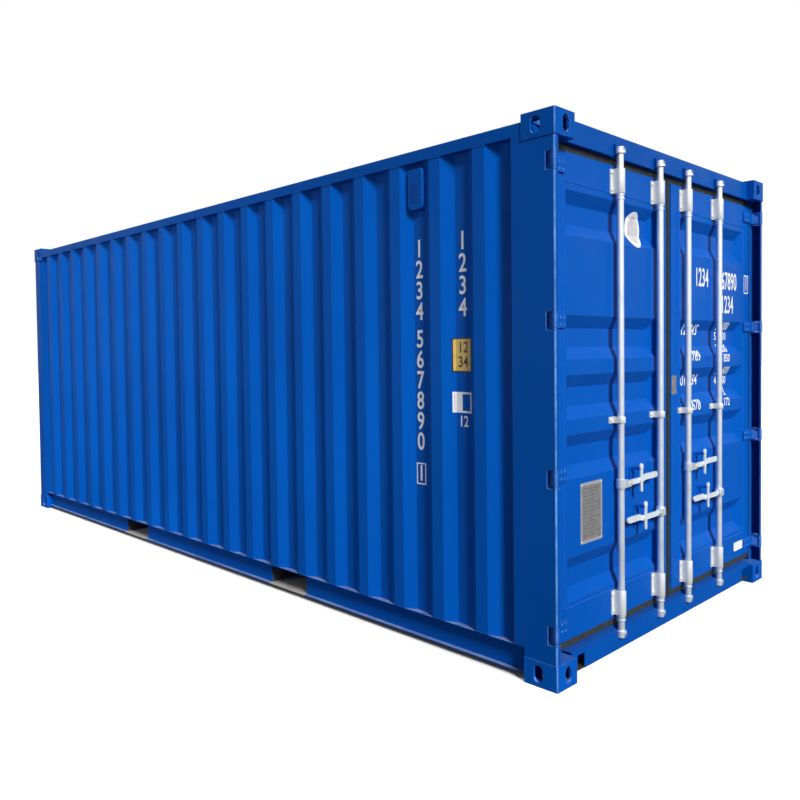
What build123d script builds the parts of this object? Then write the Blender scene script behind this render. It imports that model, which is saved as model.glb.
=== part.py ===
"""A twenty-foot freight container with two hinged doors, four lock rods and four door handles.

Millimetres. X runs across the width, Y along the length, Z up. The origin is the middle of the
footprint at ground level, and the doors face -Y. Pieces of the left half are drawn at -X and
mirrored where the right half matches them.
"""

import os

from build123d import *

# Overall envelope, given by the outer faces of the eight corner castings
LENGTH = 6058.0
WIDTH = 2438.0
HEIGHT = 2591.0

# Corner castings
CASTING_LENGTH = 178.0
CASTING_WIDTH = 162.0
CASTING_HEIGHT = 118.0
CASTING_OUTER_WALL = 14.0
CASTING_INNER_WALL = 9.0
CASTING_FOOT_WALL = 28.0
CASTING_EDGE_RADIUS = 8.0
LOCK_HOLE_LENGTH = 124.5
LOCK_HOLE_WIDTH = 63.5
LOCK_HOLE_FROM_END = 102.5
LOCK_HOLE_FROM_SIDE = 89.5
LASH_SLOT_HEIGHT = 79.5
LASH_SLOT_WIDTH = 51.0

# Pressed side skins stand a little inside the castings
SKIN_INSET = 4.0

# Door end posts
POST_PLATE = 6.0
POST_SIDE_WIDTH = 231.0
POST_FRONT_LIP = 30.0
POST_BOX_START = 66.0
POST_BOX_DEPTH = 46.0
POST_BOX_JAMB = 12.0
POST_BEND = 10.0

# Front end posts, with slanted returns to the walls
FRONT_POST_SIDE = 120.0
FRONT_POST_FACE = 106.0
FRONT_POST_RETURN = 105.0

# Rails
TOP_RAIL = 60.0
TOP_RAIL_DROP = 33.0
TOP_RAIL_WALL = 3.0
BASE_RAIL_BOTTOM = 27.0
BASE_RAIL_TOP = 162.0
BASE_RAIL_PLATE = 4.5
BASE_RAIL_UPPER_FLANGE = 48.0
BASE_RAIL_LOWER_FLANGE = 30.0
BASE_RAIL_INSET = 6.0

# Corrugated walls, two millimetre sheet
SHEET = 2.0
WALL_INSET = 6.0
WALL_DEPTH = 36.0
WALL_CREST = 72.0
WALL_SLOPE = 68.0
WALL_VALLEY = 70.0
FIRST_VALLEY = 86.0
FRONT_CREST = 60.0
FRONT_SLOPE = 50.0
FRONT_VALLEY = 90.0

# Roof sheet with pressed ribs across the width
ROOF_EDGE_INSET = 10.0
ROOF_END_INSET = 52.0
ROOF_RIB_HEIGHT = 20.0
ROOF_RIB_WIDTH = 150.0
ROOF_RIB_MARGIN = 139.0
ROOF_RIB_PITCH = 236.0
ROOF_RIB_TAPER = 60.0

# Floor, cross members and fork pockets
FLOOR_TOP = 174.0
FLOOR_BOARD = 28.0
CROSS_HEIGHT = 110.0
CROSS_FLANGE = 45.0
CROSS_PLATE = 4.0
CROSS_PITCH = 290.0
POCKET_FROM_MIDDLE = 1025.0
POCKET_WIDTH = 360.0
POCKET_BOTTOM = 31.0
POCKET_PLATE = 4.0
POCKET_STRAP = 240.0

# Door header and sill, and the pockets in them that take the rod ends
HEADER_RECESS = 44.0
HEADER_DEPTH = 116.0
HEADER_PLATE = 5.0
HEADER_DROP = 14.0
HEADER_LIP = 33.0
SILL_RECESS = 28.0
SILL_DEPTH = 142.0
SILL_BOTTOM = 30.0
SILL_TOP = 133.0
SILL_NOTCH = 114.0
SILL_NOTCH_TOP = 105.0
SILL_WEB_RECESS = 78.0
DOOR_STOP_RECESS = 120.0
CUP_RADIUS = 40.0
CUP_PLATE = 4.0
CUP_HEIGHT = 62.0
KEEPER_WALL = 6.0
KEEPER_HEIGHT = 42.0
KEEPER_LIFT = 14.0
KEEPER_CAP = 4.0

# Door leaves
LEAF_RECESS = 64.0
LEAF_DEPTH = 50.0
LEAF_BOTTOM_GAP = 42.0
LEAF_TOP_GAP = 37.0
LEAF_HINGE_EDGE = 70.0
LEAF_MEETING_EDGE = 30.0
STILE_WIDTH = 90.0
STILE_WALL = 4.0
LEAF_RAIL_TOP = 136.0
LEAF_RAIL_BOTTOM = 150.0
LEAF_RAIL_PLATE = 4.0
PANEL_RECESS_DEPTH = 34.0
PANEL_RECESS_MOUTH = 208.0
PANEL_RECESS_MARGIN = 24.0
PANEL_RECESS_RUN = 59.0
PANEL_RECESS_GAP = 71.0
PANEL_RECESS_END = 171.5
SEAL_RECESS = 72.0
SEAL_DEPTH = 28.0
SEAL_GAP = 5.0
SEAL_MEETING_GAP = 6.0

# Door hinges, four a leaf, their pins in the outer corners of the door end
HINGE_INSET = 13.0
HINGE_FROM_EDGE = 73.0
HINGE_BARREL = 12.0
HINGE_PIN = 6.5
HINGE_CLEARANCE = 0.4
HINGE_HEIGHT = 60.0
HINGE_BLADE = 10.0
HINGE_REACH = 158.0
HINGE_LUG = 10.0
HINGE_LUG_GAP = 1.5
HINGE_LUG_RADIUS = 11.0
HINGE_LUG_WIDTH = 19.0
HINGE_SLOT_REACH = 52.0

# Lock rods
ROD_OUTER_X = 595.0
ROD_INNER_X = 170.0
ROD_RECESS = 30.0
ROD_RADIUS = 17.0
ROD_WALL = 3.5
ROD_CLEARANCE = 0.5
CAM_RADIUS = 26.0
CAM_HEIGHT = 30.0
CAM_SLOT = 22.0
CAM_SLOT_DEPTH = 18.0
CAM_LIFT = 17.0
RING_RADIUS = 21.5
RING_HEIGHT = 7.0
RING_GAP = 3.0
RING_STEP = 18.0
BRACKET_PLATE = 6.0
BRACKET_WIDTH = 84.0
BRACKET_HEIGHT = 122.0
BRACKET_FROM_EDGE = 20.0
BRACKET_SLEEVE = 23.5
STRAP_WIDTH = 120.0
STRAP_HEIGHT = 32.0
STRAP_LEVEL = 1175.0

# Handles and the catches that hold them
UPPER_HANDLE_LEVEL = 856.0
LOWER_HANDLE_LEVEL = 655.0
UPPER_HANDLE_LENGTH = 350.0
LOWER_HANDLE_LENGTH = 390.0
UPPER_CATCH_OFFSET = 165.0
LOWER_CATCH_OFFSET = 215.0
HANDLE_HEIGHT = 26.0
HANDLE_THICKNESS = 10.0
HANDLE_RECESS = 9.0
HANDLE_PIVOT = 44.0
HANDLE_PIN = 5.0
HANDLE_SIDE_GAP = 1.0
HANDLE_RISE = 10.0
HANDLE_BEND = 36.0
GRIP_HEIGHT = 30.0
HASP_WIDTH = 20.0
HASP_THICKNESS = 7.0
HASP_UP = 70.0
HASP_DOWN = 50.0
HASP_HEAD = 16.0
HUB_RADIUS = 24.0
HUB_HEIGHT = 44.0
HUB_EAR = 8.0
HUB_THROAT = 2.0
HUB_EYE = 17.0
CATCH_WIDTH = 34.0
CATCH_HEIGHT = 128.0
CATCH_PLATE = 5.0
CATCH_ARM = 22.0
CATCH_ARM_HEIGHT = 12.0
CATCH_GAP = 5.0
CATCH_UPPER_ARM = 50.0
CATCH_SETBACK = 6.0

# Ventilators high on the side walls
VENT_WIDTH = 104.0
VENT_HEIGHT = 212.0
VENT_DEPTH = 30.0
VENT_DROP = 30.0
VENT_CORNER = 10.0
VENT_FOOT_CORNER = 34.0
VENT_CHAMFER = 5.0
VENT_VALLEY_INDEX = 2

# Levels and positions that follow from the sizes above
SIDE = WIDTH / 2
END = LENGTH / 2
SKIN = SIDE - SKIN_INSET
POST_BACK = -END + SKIN_INSET + POST_SIDE_WIDTH
POST_TOP = HEIGHT - CASTING_HEIGHT
TOP_RAIL_TOP = HEIGHT - TOP_RAIL_DROP
TOP_RAIL_BOTTOM = TOP_RAIL_TOP - TOP_RAIL
WALL_PITCH = WALL_CREST + WALL_VALLEY + 2 * WALL_SLOPE
FRONT_PITCH = FRONT_CREST + FRONT_VALLEY + 2 * FRONT_SLOPE
WALL_START = POST_BACK
WALL_END = END - SKIN_INSET - FRONT_POST_SIDE - FRONT_POST_RETURN
WALL_CRESTS = int((WALL_END - WALL_START - FIRST_VALLEY + WALL_VALLEY) / WALL_PITCH)
VALLEY = WALL_INSET + WALL_DEPTH
JAMB = SIDE - SKIN_INSET - POST_BOX_DEPTH
BETWEEN_CASTINGS = LENGTH - 2 * CASTING_LENGTH
BETWEEN_CORNERS = WIDTH - 2 * CASTING_WIDTH
FRONT_CRESTS = int((BETWEEN_CORNERS + FRONT_VALLEY) / FRONT_PITCH)
RAIL_WEB = BASE_RAIL_INSET + BASE_RAIL_UPPER_FLANGE - BASE_RAIL_PLATE
HEADER_BOTTOM = POST_TOP
HEADER_TOP = HEIGHT - HEADER_DROP
LEAF_FACE = -END + LEAF_RECESS
LEAF_BOTTOM = SILL_TOP + LEAF_BOTTOM_GAP
LEAF_TOP = HEADER_BOTTOM - LEAF_TOP_GAP
LEAF_MIDDLE = (LEAF_BOTTOM + LEAF_TOP) / 2
LEAF_OUTER = -SIDE + LEAF_HINGE_EDGE
LEAF_INNER = -LEAF_MEETING_EDGE
PANEL_LEFT = LEAF_OUTER + STILE_WIDTH
PANEL_RIGHT = LEAF_INNER - STILE_WIDTH
PANEL_BOTTOM = LEAF_BOTTOM + LEAF_RAIL_BOTTOM
PANEL_TOP = LEAF_TOP - LEAF_RAIL_TOP
PIN_X = -SIDE + HINGE_INSET
PIN_Y = -END + HINGE_INSET
HINGE_SLOT_HEIGHT = HINGE_HEIGHT + 2 * (HINGE_LUG_GAP + HINGE_LUG)
HINGE_PITCH = (LEAF_TOP - LEAF_BOTTOM - 2 * HINGE_FROM_EDGE) / 3
HINGE_LEVELS = [LEAF_BOTTOM + HINGE_FROM_EDGE + step * HINGE_PITCH for step in range(4)]
ROD_Y = -END + ROD_RECESS
ROD_XS = [-ROD_OUTER_X, -ROD_INNER_X, ROD_INNER_X, ROD_OUTER_X]
UPPER_CAM = HEADER_BOTTOM + CAM_LIFT
LOWER_CAM = SILL_TOP - CAM_LIFT
HANDLE_Y = -END + HANDLE_RECESS + HANDLE_THICKNESS / 2
EARS_WIDTH = 2 * HUB_EAR + HANDLE_THICKNESS + 2 * HANDLE_SIDE_GAP
CROSS_TOP = FLOOR_TOP - FLOOR_BOARD
POCKET_HEIGHT = CROSS_TOP - POCKET_PLATE - POCKET_BOTTOM

LOW = (Align.MIN, Align.MIN)
LOW3 = (Align.MIN, Align.MIN, Align.MIN)


def sheet_line(first_flat, crests, crest, slope, valley, length):
    """Points of a corrugated sheet as (distance along, depth), starting and ending in a valley."""
    points = [(0, WALL_DEPTH)]
    at = first_flat
    for index in range(crests):
        points.append((at, WALL_DEPTH))
        points.append((at + slope, 0))
        points.append((at + slope + crest, 0))
        points.append((at + 2 * slope + crest, WALL_DEPTH))
        at += 2 * slope + crest + valley
    points.append((length, WALL_DEPTH))
    return points


def mirrored(piece):
    """The right-hand twin of a left-hand piece."""
    with BuildPart() as twin:
        mirror(piece.part, about=Plane.YZ)
    return twin


# Corner castings: hollow boxes with a lock hole in the foot and a slot in each outer face
with BuildPart() as casting:
    with Locations((-SIDE, -END, 0)):
        Box(CASTING_WIDTH, CASTING_LENGTH, CASTING_HEIGHT, align=LOW3)
    outer_upright = casting.edges().filter_by(Axis.Z).sort_by(Axis.X)[:2].sort_by(Axis.Y)[0]
    fillet(outer_upright, radius=CASTING_EDGE_RADIUS)
    with Locations((-SIDE + CASTING_OUTER_WALL, -END + CASTING_OUTER_WALL, CASTING_FOOT_WALL)):
        Box(
            CASTING_WIDTH - CASTING_OUTER_WALL - CASTING_INNER_WALL,
            CASTING_LENGTH - CASTING_OUTER_WALL - CASTING_INNER_WALL,
            CASTING_HEIGHT - CASTING_FOOT_WALL - CASTING_INNER_WALL,
            align=LOW3,
            mode=Mode.SUBTRACT,
        )
    with BuildSketch(Plane.XY):
        with Locations((-SIDE + LOCK_HOLE_FROM_SIDE, -END + LOCK_HOLE_FROM_END)):
            Circle(LOCK_HOLE_LENGTH / 2)
            Rectangle(LOCK_HOLE_WIDTH, LOCK_HOLE_LENGTH, mode=Mode.INTERSECT)
    extrude(amount=CASTING_FOOT_WALL, mode=Mode.SUBTRACT)
    with BuildSketch(Plane.YZ.offset(-SIDE)):
        with Locations((-END + LOCK_HOLE_FROM_END, CASTING_HEIGHT / 2)):
            SlotOverall(LASH_SLOT_HEIGHT, LASH_SLOT_WIDTH, rotation=90)
    extrude(amount=CASTING_OUTER_WALL, mode=Mode.SUBTRACT)
    with BuildSketch(Plane.XZ.offset(END)):
        with Locations((-SIDE + LOCK_HOLE_FROM_SIDE, CASTING_HEIGHT / 2)):
            SlotOverall(LASH_SLOT_HEIGHT, LASH_SLOT_WIDTH, rotation=90)
    extrude(amount=-CASTING_OUTER_WALL, mode=Mode.SUBTRACT)

with BuildPart() as bottom_castings:
    add(casting.part)
    mirror(about=Plane.YZ)
    mirror(about=Plane.XZ)

with BuildPart() as top_castings:
    mirror(bottom_castings.part, about=Plane.XY.offset(HEIGHT / 2))

# Door end post: side skin with a front lip, a boxed jamb behind the hinge line and hinge slots
with BuildPart() as left_door_post:
    with BuildSketch(Plane.XY.offset(CASTING_HEIGHT)):
        with Locations((-SKIN, -END + SKIN_INSET)):
            Rectangle(POST_PLATE, POST_SIDE_WIDTH, align=LOW)
            Rectangle(POST_FRONT_LIP, POST_PLATE, align=LOW)
        with Locations((-SKIN, -END + POST_BOX_START)):
            Rectangle(POST_BOX_DEPTH, POST_BACK + END - POST_BOX_START, align=LOW)
        with Locations((-SKIN + POST_PLATE, -END + POST_BOX_START + POST_PLATE)):
            Rectangle(
                POST_BOX_DEPTH - POST_PLATE - POST_BOX_JAMB,
                POST_BACK + END - POST_BOX_START - 2 * POST_PLATE,
                align=LOW,
                mode=Mode.SUBTRACT,
            )
    extrude(amount=TOP_RAIL_BOTTOM - CASTING_HEIGHT)
    front_edge = left_door_post.edges().filter_by(Axis.Z).sort_by(Axis.X)[:2].sort_by(Axis.Y)[0]
    fillet(front_edge, radius=POST_BEND)
    with Locations((-SIDE, -END, POST_TOP)):
        Box(CASTING_WIDTH, CASTING_LENGTH, CASTING_HEIGHT, align=LOW3, mode=Mode.SUBTRACT)
    with Locations((-SIDE, -END + CASTING_LENGTH, CASTING_HEIGHT)):
        Box(
            CASTING_WIDTH,
            CASTING_LENGTH,
            BASE_RAIL_TOP - CASTING_HEIGHT,
            align=LOW3,
            mode=Mode.SUBTRACT,
        )
    for level in HINGE_LEVELS:
        with Locations((-SIDE, -END, level)):
            Box(
                POST_FRONT_LIP + SKIN_INSET,
                HINGE_SLOT_REACH,
                HINGE_SLOT_HEIGHT,
                align=(Align.MIN, Align.MIN, Align.CENTER),
                mode=Mode.SUBTRACT,
            )

right_door_post = mirrored(left_door_post)

# Front end post: one folded plate round the corner, its slanted returns meeting the two walls
with BuildPart() as left_front_post:
    with BuildSketch(Plane.XY.offset(CASTING_HEIGHT)):
        with BuildLine():
            Polyline(
                (-SIDE + VALLEY, WALL_END),
                (-SKIN, WALL_END + FRONT_POST_RETURN),
                (-SKIN, END - SKIN_INSET),
                (-SKIN + FRONT_POST_FACE, END - SKIN_INSET),
                (-SIDE + CASTING_WIDTH, END - VALLEY),
                (-SIDE + CASTING_WIDTH, END - VALLEY - POST_PLATE),
                (-SKIN + FRONT_POST_FACE, END - SKIN_INSET - POST_PLATE),
                (-SKIN + POST_PLATE, END - SKIN_INSET - POST_PLATE),
                (-SKIN + POST_PLATE, WALL_END + FRONT_POST_RETURN),
                (-SIDE + VALLEY + POST_PLATE, WALL_END),
                close=True,
            )
        make_face()
    extrude(amount=TOP_RAIL_BOTTOM - CASTING_HEIGHT)
    bend = left_front_post.edges().filter_by(Axis.Z).sort_by(Axis.X)[:2].sort_by(Axis.Y)[-1]
    fillet(bend, radius=POST_BEND)
    with Locations((-SIDE, END, POST_TOP)):
        Box(
            CASTING_WIDTH,
            CASTING_LENGTH,
            CASTING_HEIGHT,
            align=(Align.MIN, Align.MAX, Align.MIN),
            mode=Mode.SUBTRACT,
        )
    with Locations((-SIDE, END - CASTING_LENGTH, CASTING_HEIGHT)):
        Box(
            CASTING_WIDTH,
            CASTING_LENGTH,
            BASE_RAIL_TOP - CASTING_HEIGHT,
            align=(Align.MIN, Align.MAX, Align.MIN),
            mode=Mode.SUBTRACT,
        )

right_front_post = mirrored(left_front_post)

# Top side rail: square tube between the top castings
with BuildPart() as left_top_rail:
    with BuildSketch(Plane.XZ.offset(-BETWEEN_CASTINGS / 2)):
        with Locations((-SKIN + TOP_RAIL / 2, TOP_RAIL_TOP - TOP_RAIL / 2)):
            Rectangle(TOP_RAIL, TOP_RAIL)
            Rectangle(TOP_RAIL - 2 * TOP_RAIL_WALL, TOP_RAIL - 2 * TOP_RAIL_WALL, mode=Mode.SUBTRACT)
    extrude(amount=BETWEEN_CASTINGS)

right_top_rail = mirrored(left_top_rail)

# Bottom side rail: channel with its flanges turned outwards, in three lengths beside the fork pockets
RAIL_LENGTHS = [
    (-BETWEEN_CASTINGS / 2, -POCKET_FROM_MIDDLE - POCKET_WIDTH / 2),
    (-POCKET_FROM_MIDDLE + POCKET_WIDTH / 2, POCKET_FROM_MIDDLE - POCKET_WIDTH / 2),
    (POCKET_FROM_MIDDLE + POCKET_WIDTH / 2, BETWEEN_CASTINGS / 2),
]
with BuildPart() as left_bottom_rail:
    for near, far in RAIL_LENGTHS:
        with BuildSketch(Plane.XZ.offset(-far)):
            with Locations((-SIDE + RAIL_WEB + BASE_RAIL_PLATE, BASE_RAIL_BOTTOM)):
                Rectangle(BASE_RAIL_PLATE, BASE_RAIL_TOP - BASE_RAIL_BOTTOM, align=(Align.MAX, Align.MIN))
                Rectangle(BASE_RAIL_LOWER_FLANGE, BASE_RAIL_PLATE, align=(Align.MAX, Align.MIN))
            with Locations((-SIDE + BASE_RAIL_INSET, BASE_RAIL_TOP)):
                Rectangle(BASE_RAIL_UPPER_FLANGE, BASE_RAIL_PLATE, align=(Align.MIN, Align.MAX))
        extrude(amount=far - near)

right_bottom_rail = mirrored(left_bottom_rail)

# Front top rail and front sill
with BuildPart() as front_top_rail:
    with BuildSketch(Plane.YZ.offset(-BETWEEN_CORNERS / 2)):
        with Locations((END - SKIN_INSET - TOP_RAIL / 2, TOP_RAIL_TOP - TOP_RAIL / 2)):
            Rectangle(TOP_RAIL, TOP_RAIL)
            Rectangle(TOP_RAIL - 2 * TOP_RAIL_WALL, TOP_RAIL - 2 * TOP_RAIL_WALL, mode=Mode.SUBTRACT)
    extrude(amount=BETWEEN_CORNERS)

with BuildPart() as front_sill:
    with BuildSketch(Plane.YZ.offset(-BETWEEN_CORNERS / 2)):
        with Locations((END - RAIL_WEB - BASE_RAIL_PLATE, BASE_RAIL_BOTTOM)):
            Rectangle(BASE_RAIL_PLATE, BASE_RAIL_TOP - BASE_RAIL_BOTTOM, align=LOW)
            Rectangle(BASE_RAIL_LOWER_FLANGE, BASE_RAIL_PLATE, align=LOW)
        with Locations((END - BASE_RAIL_INSET, BASE_RAIL_TOP)):
            Rectangle(BASE_RAIL_UPPER_FLANGE, BASE_RAIL_PLATE, align=(Align.MAX, Align.MAX))
    extrude(amount=BETWEEN_CORNERS)

# Corrugated side walls between the rails
with BuildPart() as left_wall:
    with BuildSketch(Plane.XY.offset(BASE_RAIL_TOP)):
        with BuildLine():
            line = sheet_line(
                FIRST_VALLEY, WALL_CRESTS, WALL_CREST, WALL_SLOPE, WALL_VALLEY, WALL_END - WALL_START
            )
            outer = [(-SIDE + WALL_INSET + depth, WALL_START + along) for along, depth in line]
            inner = [(x + SHEET, y) for x, y in reversed(outer)]
            Polyline(*outer, *inner, close=True)
        make_face()
    extrude(amount=TOP_RAIL_BOTTOM - BASE_RAIL_TOP)

right_wall = mirrored(left_wall)

# Corrugated front wall
with BuildPart() as front_wall:
    with BuildSketch(Plane.XY.offset(BASE_RAIL_TOP)):
        with BuildLine():
            spare = BETWEEN_CORNERS - FRONT_CRESTS * FRONT_PITCH + FRONT_VALLEY
            line = sheet_line(
                spare / 2, FRONT_CRESTS, FRONT_CREST, FRONT_SLOPE, FRONT_VALLEY, BETWEEN_CORNERS
            )
            outer = [(-BETWEEN_CORNERS / 2 + along, END - WALL_INSET - depth) for along, depth in line]
            inner = [(x, y - SHEET) for x, y in reversed(outer)]
            Polyline(*outer, *inner, close=True)
        make_face()
    extrude(amount=TOP_RAIL_BOTTOM - BASE_RAIL_TOP)

# Roof sheet: the skin of a slab with tapered ribs
with BuildPart() as roof_form:
    with Locations((0, 0, TOP_RAIL_TOP + SHEET)):
        Box(
            WIDTH - 2 * ROOF_EDGE_INSET,
            BETWEEN_CASTINGS,
            TOP_RAIL,
            align=(Align.CENTER, Align.CENTER, Align.MAX),
        )
        Box(
            BETWEEN_CORNERS,
            LENGTH - 2 * ROOF_END_INSET,
            TOP_RAIL,
            align=(Align.CENTER, Align.CENTER, Align.MAX),
        )
    with BuildSketch(Plane.XY.offset(TOP_RAIL_TOP + SHEET)):
        with GridLocations(0, ROOF_RIB_PITCH, 1, int(BETWEEN_CASTINGS / ROOF_RIB_PITCH)):
            Rectangle(WIDTH - 2 * ROOF_RIB_MARGIN, ROOF_RIB_WIDTH)
    extrude(amount=ROOF_RIB_HEIGHT, taper=ROOF_RIB_TAPER)

with BuildPart() as roof:
    add(roof_form.part)
    with Locations((0, 0, -SHEET)):
        add(roof_form.part, mode=Mode.SUBTRACT)

# Door header: folded plate closed down on to the roof, with four half-round cups for the upper rod ends
with BuildPart() as door_header:
    with BuildSketch(Plane.YZ.offset(-BETWEEN_CORNERS / 2)):
        with Locations((-END + HEADER_RECESS, HEADER_BOTTOM)):
            Rectangle(HEADER_PLATE, HEADER_TOP - HEADER_BOTTOM, align=LOW)
            Rectangle(HEADER_DEPTH, HEADER_PLATE, align=LOW)
        with Locations((-END + HEADER_RECESS, HEADER_TOP)):
            Rectangle(HEADER_DEPTH, HEADER_PLATE, align=(Align.MIN, Align.MAX))
        with Locations((-END + HEADER_RECESS + HEADER_DEPTH, HEADER_TOP)):
            Rectangle(HEADER_PLATE, HEADER_TOP - TOP_RAIL_TOP - SHEET, align=(Align.MAX, Align.MAX))
        with Locations((-END + DOOR_STOP_RECESS, HEADER_BOTTOM + HEADER_PLATE)):
            Rectangle(HEADER_PLATE, HEADER_LIP + HEADER_PLATE, align=(Align.MIN, Align.MAX))
    extrude(amount=BETWEEN_CORNERS)
    with BuildSketch(Plane.XY.offset(HEADER_BOTTOM)) as upper_cups:
        with Locations([(x, ROD_Y) for x in ROD_XS]):
            Circle(CUP_RADIUS + CUP_PLATE)
        with Locations((0, -END + HEADER_RECESS)):
            Rectangle(BETWEEN_CORNERS, HEADER_DEPTH, align=(Align.CENTER, Align.MIN), mode=Mode.INTERSECT)
    extrude(amount=CUP_HEIGHT + CUP_PLATE)
    with BuildSketch(Plane.XY.offset(HEADER_BOTTOM)):
        with Locations([(x, ROD_Y) for x in ROD_XS]):
            Circle(CUP_RADIUS)
    extrude(amount=CUP_HEIGHT, mode=Mode.SUBTRACT)

# Door sill: folded plate with an inner web, notches beside the castings and cups for the lower rod ends
with BuildPart() as door_sill:
    with BuildSketch(Plane.YZ.offset(-BETWEEN_CORNERS / 2)):
        with Locations((-END + SILL_RECESS, SILL_BOTTOM)):
            Rectangle(HEADER_PLATE, SILL_TOP - SILL_BOTTOM, align=LOW)
        with Locations((-END + SILL_RECESS, SILL_TOP)):
            Rectangle(SILL_DEPTH, HEADER_PLATE, align=(Align.MIN, Align.MAX))
        with Locations((-END + DOOR_STOP_RECESS, SILL_TOP - HEADER_PLATE)):
            Rectangle(HEADER_PLATE, FLOOR_TOP - SILL_TOP + HEADER_PLATE, align=LOW)
        with Locations((-END + SILL_WEB_RECESS, SILL_BOTTOM)):
            Rectangle(HEADER_PLATE, SILL_TOP - SILL_BOTTOM, align=LOW)
        with Locations((-END + SILL_RECESS + SILL_DEPTH, CROSS_TOP)):
            Rectangle(HEADER_PLATE, CROSS_TOP - SILL_BOTTOM, align=(Align.MAX, Align.MAX))
    extrude(amount=BETWEEN_CORNERS)
    for edge, toward in ((-BETWEEN_CORNERS / 2, Align.MIN), (BETWEEN_CORNERS / 2, Align.MAX)):
        with Locations((edge, -END, 0)):
            Box(
                SILL_NOTCH,
                SILL_RECESS + HEADER_PLATE,
                SILL_NOTCH_TOP,
                align=(toward, Align.MIN, Align.MIN),
                mode=Mode.SUBTRACT,
            )
    with BuildSketch(Plane.XY.offset(SILL_TOP)) as lower_cups:
        with Locations([(x, ROD_Y) for x in ROD_XS]):
            Circle(CUP_RADIUS + CUP_PLATE)
        with Locations((0, -END + SILL_RECESS)):
            Rectangle(BETWEEN_CORNERS, SILL_DEPTH, align=(Align.CENTER, Align.MIN), mode=Mode.INTERSECT)
    extrude(amount=-CUP_HEIGHT - CUP_PLATE)
    with BuildSketch(Plane.XY.offset(SILL_TOP)):
        with Locations([(x, ROD_Y) for x in ROD_XS]):
            Circle(CUP_RADIUS)
    extrude(amount=-CUP_HEIGHT, mode=Mode.SUBTRACT)

# Cam keepers: capped half rings that line the cups and stand out to the line of the rods
with BuildPart() as cam_keepers:
    for level, inward in ((HEADER_BOTTOM + KEEPER_LIFT, 1), (SILL_TOP - KEEPER_LIFT, -1)):
        with BuildSketch(Plane.XY.offset(level)):
            with Locations([(x, ROD_Y) for x in ROD_XS]):
                Circle(CUP_RADIUS)
                Circle(CUP_RADIUS - KEEPER_WALL, mode=Mode.SUBTRACT)
            with Locations((0, ROD_Y)):
                Rectangle(WIDTH, HEADER_DEPTH, align=(Align.CENTER, Align.MIN), mode=Mode.INTERSECT)
        extrude(amount=inward * KEEPER_HEIGHT)
        with BuildSketch(Plane.XY.offset(level + inward * KEEPER_HEIGHT)):
            with Locations([(x, ROD_Y) for x in ROD_XS]):
                Circle(CUP_RADIUS)
            with Locations((0, ROD_Y)):
                Rectangle(WIDTH, HEADER_DEPTH, align=(Align.CENTER, Align.MIN), mode=Mode.INTERSECT)
        extrude(amount=-inward * KEEPER_CAP)

# Floor boards on cross members
FLOOR_START = -END + DOOR_STOP_RECESS + HEADER_PLATE
FLOOR_FINISH = END - RAIL_WEB - BASE_RAIL_PLATE
with BuildPart() as floor_boards:
    with Locations((0, FLOOR_START, FLOOR_TOP)):
        Box(
            WIDTH - 2 * (RAIL_WEB + BASE_RAIL_PLATE),
            FLOOR_FINISH - FLOOR_START,
            FLOOR_BOARD,
            align=(Align.CENTER, Align.MIN, Align.MAX),
        )

# Fork pockets: a top plate that carries the rails across, two webs and a strap at each mouth
POCKET_MIDDLES = (-POCKET_FROM_MIDDLE, POCKET_FROM_MIDDLE)
POCKET_SPAN = WIDTH - 2 * (RAIL_WEB + BASE_RAIL_PLATE)
POCKET_TOP = POCKET_BOTTOM + POCKET_HEIGHT
with BuildPart() as fork_pocket_tops:
    for middle in POCKET_MIDDLES:
        with BuildSketch(Plane.XZ.offset(-middle - POCKET_WIDTH / 2)):
            with Locations((0, POCKET_TOP)):
                Rectangle(POCKET_SPAN, POCKET_PLATE, align=(Align.CENTER, Align.MIN))
            for side, inward in ((-SIDE, Align.MIN), (SIDE, Align.MAX)):
                toward = 1 if inward == Align.MIN else -1
                with Locations((side + toward * RAIL_WEB, POCKET_TOP)):
                    Rectangle(BASE_RAIL_PLATE, BASE_RAIL_TOP - POCKET_TOP, align=(inward, Align.MIN))
                with Locations((side + toward * BASE_RAIL_INSET, BASE_RAIL_TOP)):
                    Rectangle(BASE_RAIL_UPPER_FLANGE, BASE_RAIL_PLATE, align=(inward, Align.MAX))
        extrude(amount=POCKET_WIDTH)

with BuildPart() as fork_pocket_webs:
    for middle in POCKET_MIDDLES:
        for step, outward in ((-POCKET_WIDTH / 2, Align.MAX), (POCKET_WIDTH / 2, Align.MIN)):
            with Locations((0, middle + step, BASE_RAIL_BOTTOM)):
                Box(
                    POCKET_SPAN,
                    POCKET_PLATE,
                    CROSS_TOP - BASE_RAIL_BOTTOM,
                    align=(Align.CENTER, outward, Align.MIN),
                )

STRAP_OUTER = SIDE - RAIL_WEB - BASE_RAIL_PLATE + BASE_RAIL_LOWER_FLANGE
with BuildPart() as fork_pocket_straps:
    for middle in POCKET_MIDDLES:
        for side, inward in ((-STRAP_OUTER, Align.MIN), (STRAP_OUTER, Align.MAX)):
            with Locations((side, middle, POCKET_BOTTOM)):
                Box(
                    POCKET_STRAP,
                    POCKET_WIDTH,
                    POCKET_PLATE,
                    align=(inward, Align.CENTER, Align.MAX),
                )

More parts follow.
